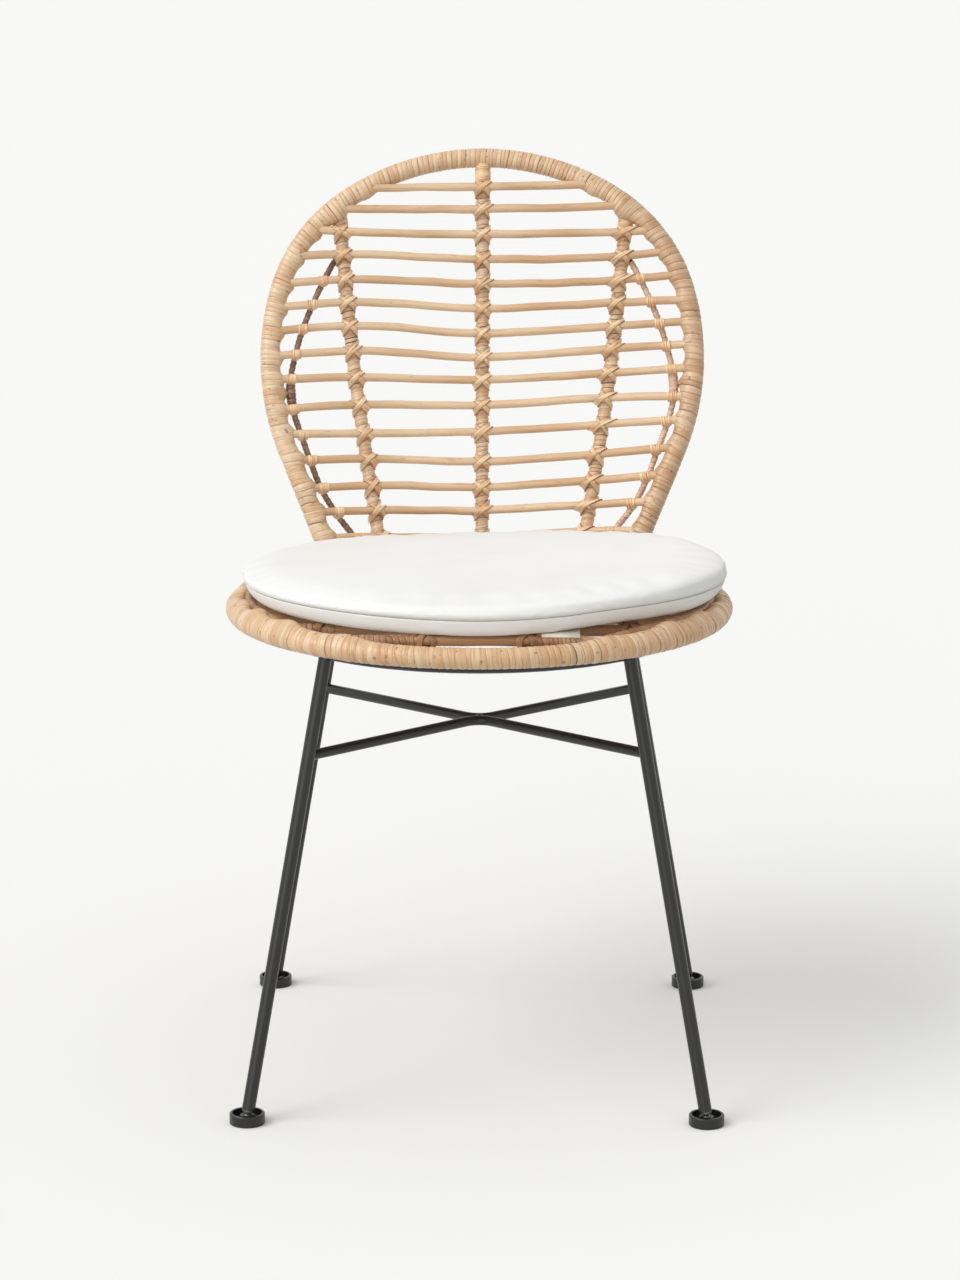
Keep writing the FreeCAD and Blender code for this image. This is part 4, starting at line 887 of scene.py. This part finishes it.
hoop_swellings = []
for index, line in enumerate(CANE_LINES):
    for side, tip, further in ((-1, line[0], line[INWARDS]), (1, line[-1], line[-1 - INWARDS])):
        height, spread = TOP_KNOTS[index] if index < len(TOP_KNOTS) else (KNOT_HEIGHTS[side], KNOT_SPREAD)
        hoop_swellings.append(swelling(HOOP, tip, further - HOOP[nearest(HOOP, tip)], height, spread))
for side, height in ((-1, TIE_LEFT), (1, TIE_RIGHT)):
    rib = where(SIDE_RIBS[side], (SIDE_RIBS[side] - BACK_START) @ UP_BACK, height)[0]
    across = rib - HOOP[nearest(HOOP, rib)]
    reach = float(np.linalg.norm(across)) - BOUND - SIDE_RIB
    hoop_swellings.append(swelling(HOOP, rib, across, reach, TIE_SPREAD, TIE_SHARPNESS))
HOOP_END = float(lengths(HOOP)[-1])
# Stretches from the left foot round to the right one: start, end, and the strip's width, raggedness,
# sway and tilt.
HOOP_STRETCHES = (
    (9.0, 170.0, 7.4, 0.34, 0.2, 0.9),
    (168.0, 560.0, 4.9, 0.16, 0.1, 0.3),
    (558.0, 700.0, 4.3, 0.18, 0.12, 0.4),
    (698.0, 1010.0, 7.2, 0.4, 0.1, 0.25),
    (1008.0, HOOP_END - 9.0, 5.6, 0.25, 0.1, 0.3),
)
# The right half takes the darker copy of the skin: painted shade.
for word, skin, places in (("left", HOOP_SKIN, (0, 1, 2)), ("right", SHADED_HOOP_SKIN, (3, 4))):
    shape = Shape()
    for place in places:
        start, end, width, ragged, sway, shingle = HOOP_STRETCHES[place]
        wound(shape, HOOP, BOUND, width, 23 + place, out=vec(0, -1, 0), hand=-1, start=start, end=end,
              ragged=ragged, sway=sway, shingle=shingle, swellings=hoop_swellings)
    replaced = ["hoop_binding"] if word == "left" else []
    shape.piece(f"hoop_binding_{word}", skin, ROOT, replaced)

# The strips wound round the uprights, the side ribs and the seat ribs.

BARE_FOOT, BARE_TOP = 8.0, 5.0

for side, word in THREE_WORDS:
    line = UPRIGHTS[side]
    strip(f"upright_{word}_strip", UPRIGHT_SKIN, "binding_strip", [f"upright_{word}_binding"], line, UPRIGHT,
          5.0, 31 + side, out=SIDEWAYS, start=BARE_FOOT, end=lengths(line)[-1] - BARE_TOP, ragged=0.3,
          sway=0.14, shingle=0.5)

# The left rib and its tie take the dark copy of the skin: painted shade.
RIB_SKINS = {-1: SHADED_RIB_SKIN, 1: RIB_SKIN}

for side, word in SIDE_WORDS:
    line = SIDE_RIBS[side]
    strip(f"side_rib_{word}_strip", RIB_SKINS[side], "binding_strip", [f"side_rib_{word}_binding"], line,
          SIDE_RIB, 5.4, 41 + side, out=SIDEWAYS, start=BARE_FOOT, end=lengths(line)[-1] - BARE_TOP,
          ragged=0.3, sway=0.1, shingle=0.9, thick=1.2, steps=18)

BARE_RIB_END = 6.0
rib_height = SEAT_HEIGHT + SEAT_CANE_HEIGHT - SOURCE_CANE - CANE_GAP - SEAT_RIB
shape = Shape()
for place, across in enumerate(SEAT_RIBS):
    reach = math.sqrt(RING_RADIUS**2 - across**2)
    line = smooth_line([vec(across, SEAT_Y - reach, rib_height), vec(across, SEAT_Y + reach, rib_height)])
    wound(shape, line, SEAT_RIB, 6.0, 51 + place, out=SIDEWAYS, start=BARE_RIB_END,
          end=lengths(line)[-1] - BARE_RIB_END, steps=16)
shape.piece("seat_rib_strips", SEAT_PAINTED_SHADE_SKIN, ROOT, ["seat_rib_bindings"])

# Canes. Those of the back end inside the hoop's binding.

HIGHEST = 396
CANE_END = 5.0

for index, line in enumerate(CANE_LINES):
    shape = Shape()
    reaches = [hoop_half_width(min(back_height(p), HIGHEST)) - CANE_END for p in line]
    inside = [i for i, p in enumerate(line) if abs(p[0]) < reaches[i]]
    cane(shape, line[inside[0]: inside[-1] + 1], CANE, 60 + index)
    shape.piece(f"cane_{index + 1:02d}", CANE_FINISH, ROOT, [f"back_cane_{index + 1:02d}"])

SEAT_CANE_SAG = 2

shape = Shape()
for row, (middle, reach, radius) in enumerate(seat_rows):
    ends = [middle + vec(side * reach, 0, -SEAT_CANE_SAG) for side in (-1, 1)]
    cane(shape, smooth_line([ends[0], middle, ends[1]], 4.0), radius, 80 + row)
shape.piece("seat_cane_set", SEAT_CANE_PAINTED_SHADE, ROOT, ["seat_canes"])

# Wraps round the ends of the first two seat canes, dark with painted shade of the cushion's shadow: row,
# start, end, and how far the wrap hangs below.

END_WRAPS = ((0, -112, -53, 5.0), (0, 53, 92, 4.0), (1, -169, -142, 5.0), (1, 142, 169, 5.0))
IN_FROM_END = 6

shape = Shape()
for row, start, end, drop in END_WRAPS:
    middle, reach, radius = seat_rows[row]
    line = spaced(np.array([middle + vec(start, 0, -1), middle + vec(end, 0, -1)]), 2.0)
    outer = line[0] if abs(start) > abs(end) else line[-1]
    lowest = outer - vec(math.copysign(IN_FROM_END, start), 0, 0)
    lower = swelling(line, lowest, vec(0, -0.3, -1), drop, abs(end - start) * 0.45)
    wound(shape, line, radius + 0.7, 4.5, 480 + start, out=vec(0, -1, 0), ragged=0.35, shingle=0.8,
          swellings=[lower])
shape.piece("seat_cane_end_wraps", SEAT_PAINTED_SHADE_SKIN, ROOT)

# Ties at the crossings.

RIB_TIE_HALF = 4.6

for side, word in THREE_WORDS:
    shape = Shape()
    for index, (line, row) in enumerate(zip(CANE_LINES, BACK_CANES)):
        rise = (row[2], 0, row[3])[side + 1]
        if rise is None:
            continue
        point, way = upright_at(side, row[0] + rise)
        bar_middle, bar_way = cane_at(line, cane_over_upright(side, row[0] + rise)[0])
        knot = Knot(bar_middle, bar_way, CANE, point, way, UPRIGHT)
        width, over = (3.3, 2) if index % 3 == 1 else (5.0, 1)
        knot.crossed(shape, 100 + 20 * (side + 2) + index, width, over, 0.95)
    shape.piece(f"ties_{word}", TIE_SKIN, ROOT, [f"lashings_{word}"])

shape = Shape()
for side, found in RIB_CROSSINGS.items():
    for index, (bar_middle, bar_way, rib, rib_way) in enumerate(found):
        line = np.array([bar_middle + bar_way * t for t in np.linspace(-RIB_TIE_HALF, RIB_TIE_HALF, 12)])
        across = rib - bar_middle
        across -= bar_way * (across @ bar_way)
        round_rib = swelling(line, bar_middle, across, 2 * SIDE_RIB + 0.6, 5.5)
        wound(shape, line, CANE + 0.5, 2.3, 210 + 30 * side + index, out=vec(0, -1, 0), hand=side, thick=1.2,
              ragged=0.35, sway=0.3, shingle=0.8, swellings=[round_rib])
shape.piece("ties_side_ribs", TIE_SKIN, ROOT, ["lashings_side_ribs"])

shape = Shape()
for row, (middle, reach, radius) in enumerate(seat_rows):
    for place, across in enumerate(SEAT_RIBS):
        if abs(across) < reach - 4:
            bar_middle, rod_middle = middle + vec(across, 0, 0), vec(across, middle[1], rib_height)
            knot = Knot(bar_middle, vec(1, 0, 0), radius, rod_middle, vec(0, 1, 0), SEAT_RIB)
            knot.crossed(shape, 300 + 10 * row + place, 4.6, 1, 0.8)
shape.piece("ties_seat", SEAT_PAINTED_SHADE_SKIN, ROOT, ["seat_lashings"])

# Wraps at the tops of the uprights, and the ties of the side ribs to the hoop.

WRAP_BELOW, WRAP_ABOVE, RIB_WRAP_HALF = 15, 3, 10

shape = Shape()
for side in (-1, 0, 1):
    line = UPRIGHTS[side]
    far = float(lengths(line)[-1]) - BOUND
    wound(shape, line, UPRIGHT + 1.3, 5.2, 400 + side, out=SIDEWAYS, start=far - WRAP_BELOW,
          end=far + WRAP_ABOVE, ragged=0.2, shingle=0.8)
shape.piece("upright_top_wraps", TIE_SKIN, ROOT, ["hoop_wraps"])

for (side, word), height in zip(SIDE_WORDS, (TIE_LEFT, TIE_RIGHT)):
    line = SIDE_RIBS[side]
    place = float(np.interp(height, (line - BACK_START) @ UP_BACK, lengths(line)))
    strip(f"rib_tie_{word}", RIB_SKINS[side], "lashing_strip", [], line, SIDE_RIB + 1.7, 4.2, 440 + side,
          out=SIDEWAYS, start=place - RIB_WRAP_HALF, end=place + RIB_WRAP_HALF, ragged=0.3, shingle=1.0,
          thick=1.5)

# Braces: each a rod bent in the middle. Heights are those of the left end, the middle and the right end.

BRACE, BRACE_BEND = 4.7, 16.0
FOOT_SPREAD, TOP_SPREAD, TOP_HEIGHT = 208.0, 135.8, 419.0
BRACE_HEIGHTS = {"front": (327.5, 325.0, 330.3), "rear": (319.0, 325.0, 320.0)}


def brace_line(back, left, middle_height, right):
    """The bend as an arc, and straight runs from it to the middle lines of two legs."""
    end_height = (left + right) / 2
    spread = FOOT_SPREAD + (TOP_SPREAD - FOOT_SPREAD) * end_height / TOP_HEIGHT
    middle = vec(0, SEAT_Y + back * BRACE, middle_height)
    towards = vec(0, SEAT_Y + back * spread, end_height) - middle
    depth = float(np.linalg.norm(towards)) - BRACE_BEND
    angle = math.atan2(depth, spread) - math.acos(BRACE_BEND / math.hypot(spread, depth))
    turn = np.linspace(math.pi - angle, 2 * math.pi + angle, 24)[:, None]
    bend = middle + unit(towards) * BRACE_BEND * (1 + np.sin(turn)) + vec(BRACE_BEND, 0, 0) * np.cos(turn)
    ends = [middle + towards + vec(side * spread, 0, 0) for side in (-1, 1)]
    line = spaced(np.concatenate([ends[:1], bend, ends[1:]]), 1.5)
    line[:, 2] += np.interp(line[:, 0], (-spread, 0, spread), (left - end_height, 0, right - end_height))
    return line


for back, word in ((-1, "front"), (1, "rear")):
    shape = Shape()
    rod(shape, brace_line(back, *BRACE_HEIGHTS[word]), BRACE)
    shape.piece(f"brace_{word}_rod", STEEL, ROOT, [f"brace_{word}"])

# Cushion: a boxed pad of two covers sewn together, set down on the seat.

CUSHION_MIDDLE = vec(3.0, -58.5, 0)
CUSHION_HALF = (224.0, 200.0)
REST_HEIGHT, CROWN_HEIGHT = 449.2, 475.5
# Angle from the right towards the back, share and height of the base's edge, share and height of the seam,
# and height of the rim.
CUSHION_EDGE = [
    (0, 0.985, 451.5, 1.0, 463.5, 480.5),
    (30, 0.98, 451.5, 1.004, 463.5, 479.5),
    (60, 0.97, 450.5, 1.0, 461.5, 473.5),
    (90, 0.965, 450.0, 1.0, 457.5, 467.0),
    (135, 0.97, 450.0, 1.0, 458.5, 468.5),
    (180, 0.965, 449.5, 0.98, 461.5, 471.5),
    (225, 0.98, 448.6, 0.994, 464.0, 475.5),
    (270, 0.998, 447.6, 1.0, 463.0, 477.0),
    (290, 0.99, 450.0, 0.992, 464.5, 479.0),
    (305, 0.98, 453.0, 0.985, 466.5, 481.0),
    (320, 0.975, 451.8, 0.985, 466.0, 482.0),
    (335, 0.985, 450.5, 0.99, 465.0, 482.5),
]
CUSHION_AROUND = 288
SEAM_DEPTH, SEAM_HALF, SEAM_OUT, CUT_WIDTH = 2.0, 1.5, 0.6, 0.36
BASE_STEPS, CORNER, SIDE_START, BELOW_SEAM, SIDE_SWELL = 16, 5, 3.5, 1.2, 1.4
# From the seam up to the rim: how far out of the seam, and share of the rise.
RIM_PROFILE = (
    (2.2, 0.2), (3.6, 0.34), (4.2, 0.48), (3.8, 0.62), (2.3, 0.76), (-0.6, 0.89), (-5.5, 0.97), (-14.0, 1.0),
)
RIM_INSET, TOP_INSET, FLAT_SHARE = 21, 16, 0.93


def round_table(column, angles):
    """A column of the cushion's table, at angles all the way round."""
    table = [(row[0] + turn, row[column]) for turn in (-360, 0, 360) for row in CUSHION_EDGE]
    return np.array([between(table, angle) for angle in angles])


def cushion_surface():
    """Rows from the middle of the base round to the middle of the top, and the seam's cut in each."""
    angles = np.arange(CUSHION_AROUND) * 360 / CUSHION_AROUND
    cosine, sine = np.cos(np.radians(angles)), np.sin(np.radians(angles))
    outline = 1 / np.hypot(cosine / CUSHION_HALF[0], sine / CUSHION_HALF[1])
    base, base_z, seam_reach, seam_z, rim_z = (round_table(k, angles) for k in range(1, 6))
    base, seam_reach = base * outline, seam_reach * outline
    rows, cuts = [], []

    def row(reach, height, cut=0.0):
        rows.append(np.stack([reach * cosine, reach * sine, height], 1) + CUSHION_MIDDLE)
        cuts.append(cut)

    for t in np.linspace(0.02, 0.97, BASE_STEPS):
        row(base * t, REST_HEIGHT + (base_z - REST_HEIGHT) * t**5)
    for turn in np.radians([20, 45, 70]):
        row(base - CORNER + CORNER * np.sin(turn), base_z + SIDE_START - SIDE_START * np.cos(turn))
    side_rise = seam_z - BELOW_SEAM - base_z - SIDE_START
    for t in np.linspace(0, 1, 7):
        bulge = SIDE_SWELL * math.sin(math.pi * t)
        row(base + (seam_reach - base) * t + bulge, base_z + SIDE_START + side_rise * t)
    for t in (-0.6, -0.25, 0.0, 0.25, 0.6):
        row(seam_reach + SEAM_OUT, seam_z + t * SEAM_HALF, math.exp(-((t / CUT_WIDTH) ** 2)))
    rise = rim_z - seam_z
    for out, up in RIM_PROFILE:
        row(seam_reach + out, seam_z + rise * up)
    shares = np.linspace(0.9, 0.02, 26)
    for t in shares:
        share = t / FLAT_SHARE
        reach = seam_reach - RIM_INSET if t == shares[0] else (seam_reach - TOP_INSET) * share * 0.999
        row(reach, CROWN_HEIGHT + (rim_z - CROWN_HEIGHT) * min(share, 1) ** 3)
    return np.array(rows), np.array(cuts)


def closed_mesh(name, rows):
    """A mesh of closed rows with a fan at each end."""
    count = rows.shape[1]
    index = np.arange(rows.shape[0] * count).reshape(rows.shape[:2])
    after = np.roll(index, -1, 1)
    faces = np.stack([index[:-1], after[:-1], after[1:], index[1:]], 2).reshape(-1, 4).tolist()
    points = rows.reshape(-1, 3).tolist()
    for ring, order in ((0, -1), (-1, 1)):
        points.append(rows[ring].mean(0).tolist())
        tip = len(points) - 1
        pairs = zip(index[ring].tolist(), after[ring].tolist())
        faces.extend([[a, b, tip][::order] for a, b in pairs])
    mesh = bpy.data.meshes.new(name)
    mesh.from_pydata((np.array(points) * MM).tolist(), [], faces)
    return mesh


PRESSURE, FRAMES, CAP = 4.0, 20, 2.2
VOXEL, HELD_NEAR, HELD_LESS, RESTS_UNDER = 0.005, 0.004, 0.006, 0.6
LOWEST_DROP = 2.0


def swollen(rows, cuts):
    """The pad as cloth under a little pressure, held along its seam and where it rests."""
    pad = put("pad", closed_mesh("pad", rows))
    scene = bpy.context.scene
    bpy.context.view_layer.objects.active = pad
    remesh = pad.modifiers.new("remesh", "REMESH")
    remesh.mode, remesh.voxel_size = "VOXEL", VOXEL
    bpy.ops.object.modifier_apply(modifier="remesh")
    seam = rows[int(np.argmax(cuts))] * MM
    tree = KDTree(len(seam))
    for i, p in enumerate(seam):
        tree.insert(p, i)
    tree.balance()
    held = pad.vertex_groups.new(name="held")
    start = np.array([v.co[:] for v in pad.data.vertices])
    for i, p in enumerate(start):
        near = tree.find(p)[2]
        rests = p[2] < (REST_HEIGHT + RESTS_UNDER) * MM
        if near < HELD_LESS or rests:
            held.add([i], 1.0 if rests or near < HELD_NEAR else 0.5, "REPLACE")
    cloth = pad.modifiers.new("cloth", "CLOTH")
    cloth.settings.use_pressure = True
    cloth.settings.uniform_pressure_force = PRESSURE
    cloth.settings.vertex_group_mass = "held"
    cloth.settings.tension_stiffness = cloth.settings.compression_stiffness = 25
    cloth.settings.bending_stiffness = 3.0
    cloth.settings.effector_weights.gravity = 0
    cloth.point_cache.frame_start, cloth.point_cache.frame_end = 1, FRAMES
    for frame_number in range(1, FRAMES + 1):
        scene.frame_set(frame_number)
    done = pad.evaluated_get(bpy.context.evaluated_depsgraph_get())
    moved = np.array([v.co[:] for v in done.data.vertices]) - start
    pad.modifiers.remove(cloth)
    scene.frame_set(1)
    far = np.linalg.norm(moved, axis=1)[:, None]
    moved = moved * np.minimum(1, CAP * MM / np.maximum(far, 1e-9))
    points = start + moved
    surface = BVHTree.FromPolygons(points.tolist(), [list(f.vertices) for f in pad.data.polygons])
    bpy.data.objects.remove(pad)
    found = np.array([surface.find_nearest(Vector(p * MM))[0][:] for p in rows.reshape(-1, 3)]) / MM
    return found.reshape(rows.shape)


def cushion():
    """The pad, with its seam cut in after the cloth has swollen."""
    rows, cuts = cushion_surface()
    rows = swollen(rows, cuts)
    rows[:BASE_STEPS, :, 2] = np.maximum(rows[:BASE_STEPS, :, 2], REST_HEIGHT)
    rows[..., 2] = np.maximum(rows[..., 2], REST_HEIGHT - LOWEST_DROP)
    inwards = rows - CUSHION_MIDDLE
    inwards[..., 2] = 0
    inwards /= np.linalg.norm(inwards, axis=2)[..., None]
    rows = rows - inwards * (cuts * SEAM_DEPTH)[:, None, None]
    mesh = closed_mesh("cushion_pad", rows)
    mesh.materials.append(CLOTH)
    # The seam's share, which the cloth's finish turns into painted shade along the seam.
    seam_share = np.append(np.repeat(cuts, CUSHION_AROUND), [0, 0])
    corners = mesh.uv_layers.new(name="laid").data
    for loop, corner in zip(mesh.loops, corners):
        corner.uv = (0.0, seam_share[loop.vertex_index])
    pad = put("cushion_pad", mesh)
    smoothed(mesh)
    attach(pad, "cushion")
    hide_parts("cushion_base_cover", "cushion_top_cover", "cushion_foam")


cushion()

# Strap ends of the cushion.

# Across a strap: share of its width, and height in thicknesses.
BAND_PROFILE = (
    (-0.5, 0), (-0.47, 0.5), (-0.25, 0.5), (0, 0.5), (0.25, 0.5),
    (0.47, 0.5), (0.5, 0), (0.47, -0.5), (0, -0.5), (-0.47, -0.5),
)


def band(shape, line, side, width, thick, closed=False):
    """A flat strap along a line; side is the direction of its width."""
    ways = np.roll(line, -1, 0) - np.roll(line, 1, 0) if closed else np.gradient(line, axis=0)
    ways = ways / np.linalg.norm(ways, axis=1)[:, None]
    out = np.cross(ways, side)
    out /= np.linalg.norm(out, axis=1)[:, None]
    points = np.stack([line + side * (a * width) + out * (b * thick) for a, b in BAND_PROFILE], 1)
    count = len(line) + (1 if closed else 0)
    laid = np.repeat((np.linspace(0, lengths(line)[-1], count) * MM)[:, None], len(BAND_PROFILE) + 1, 1)
    across = np.repeat(np.array([a + 0.5 for a, b in BAND_PROFILE] + [0.0])[None, :], count, 0)
    shape.grid(points, laid, across, loop=closed)


FRONT_STRAP_ACROSS, FRONT_STRAP_WIDTH = 74, 34.0
# Front to back place and height.
FRONT_STRAP_LINE = ((-205, 448.3), (-236, 448.2), (-243, 448.1), (-248, 447.7), (-251, 446.6))
HOOP_STRAP_ALONG, HOOP_STRAP_WIDTH, HOOP_STRAP_TILT = 34.0, 12.0, 0.8

shape = Shape()
line = smooth_line([vec(0, y, z) for y, z in FRONT_STRAP_LINE], 1.5)
band(shape, line + vec(FRONT_STRAP_ACROSS, 0, 0), unit(vec(1, -0.05, -0.02)), FRONT_STRAP_WIDTH, 1.1)
shape.piece("strap_front_end", WEBBING, ROOT, ["strap_front"])

shape = Shape()
foot_line = HOOP[HOOP[:, 0] > 0][::-1]
spot, foot_way = where(foot_line, lengths(foot_line), HOOP_STRAP_ALONG)
outwards = unit(vec(1, 0, 0) - foot_way * foot_way[0])
aside = np.cross(foot_way, outwards)
turn = round_angles(48)[:, None]
loop = spot + (outwards[None, :] * np.cos(turn) + aside[None, :] * np.sin(turn)) * (BOUND + 1.3)
loop += foot_way * ((loop - spot)[:, 1:2] * HOOP_STRAP_TILT)
band(shape, loop, foot_way, HOOP_STRAP_WIDTH, 1.2, closed=True)
shape.piece("strap_hoop_loop", WEBBING, ROOT, ["strap_hoop"])

# Finishes of the parts that stay as they are.

NODE_FINISHES = {
    "black_steel": STEEL,
    "bolt_steel": DARK_BOLT,
    "stud_steel": ZINC,
    "black_plastic": GLIDE,
    "inner_steel": STEEL,
    "cane": CANE_FINISH,
    "binding_strip": RING_SKIN,
    "lashing_strip": TIE_SKIN,
    "cover_cloth": CLOTH,
    "foam": FOAM,
    "strap_webbing": WEBBING,
}
slots = {item["node"]: item["material_slot"] for item in frame["record"]["subparts"]}
for name, node in frame["nodes"].items():
    node.data.materials.clear()
    node.data.materials.append(NODE_FINISHES[slots[name]])

# Floor, light and camera.

FLOOR_REACH = 40.0
FLOOR_TINT, BOUNCED_TINT = tint(248, 248, 246), tint(206, 206, 204)
SKY_LEVEL, SKY_RISE, PAPER = 0.23, 0.6, 0.938
# Name, level, spread in degrees, tilt from straight down, and turn to the left or right of the camera.
LAMPS = [("key", 1.18, 38, 45, -66), ("front", 0.82, 60, 66, -30)]
# Place in metres, then tilt down and turn in radians.
CAMERA_PLACE, CAMERA_TILT, CAMERA_TURN = (0.03896, -3.5424 + SEAT_Y * MM, 1.1855), 0.218, 0.0108
# The lens as a length in pixels of a picture that is 1280 high.
LENS_PIXELS, PICTURE_HEIGHT, SENSOR_HEIGHT = 3896.8, 1280, 36.0


def lay_floor():
    """A pale floor that gives a little less light back than the camera sees in it."""
    far = FLOOR_REACH
    mesh = bpy.data.meshes.new("floor")
    mesh.from_pydata([(-far, -far, 0), (far, -far, 0), (far, far, 0), (-far, far, 0)], [], [(0, 1, 2, 3)])
    floor = put("floor", mesh)
    f = new_finish("floor")
    colour = f.mix(f.ray("Diffuse"), FLOOR_TINT, BOUNCED_TINT)
    mesh.materials.append(f.end("ShaderNodeOutputMaterial", f.add("ShaderNodeBsdfDiffuse", Color=colour)))


def light_room():
    """Soft light that is stronger from above, and plain paper where the camera or a reflection sees it."""
    world = bpy.data.worlds.new("room")
    bpy.context.scene.world = world
    sky = Finish(world)
    height = sky.parts(sky.add("ShaderNodeTexCoord", output="Generated"))[2].math("MAXIMUM", 0.0)
    seen = sky.ray("Camera")
    for kind in ("Glossy", "Transmission"):
        seen = seen.math("MAXIMUM", sky.ray(kind))
    level = (1 - seen) * (height * SKY_RISE + SKY_LEVEL) + seen * PAPER
    sky.end("ShaderNodeOutputWorld", sky.add("ShaderNodeBackground", Color=(1, 1, 1, 1), Strength=level))
    for name, energy, spread, tilt, turn in LAMPS:
        lamp = bpy.data.lights.new(name, "SUN")
        lamp.energy, lamp.angle = energy, math.radians(spread)
        put(name, lamp).rotation_euler = (math.radians(tilt), 0, math.radians(turn))


def place_camera():
    """The photographer's place, fitted to the seat ring, the feet and the uprights."""
    camera = bpy.data.cameras.new("camera")
    camera.sensor_fit = "VERTICAL"
    camera.sensor_height = SENSOR_HEIGHT
    camera.lens = LENS_PIXELS / PICTURE_HEIGHT * SENSOR_HEIGHT
    camera.clip_end = 100
    holder = put("camera", camera)
    holder.location = CAMERA_PLACE
    holder.rotation_euler = (math.pi / 2 - CAMERA_TILT, 0, CAMERA_TURN)
    bpy.context.scene.camera = holder
    bpy.context.scene.view_settings.view_transform = "Standard"


lay_floor()
light_room()
place_camera()
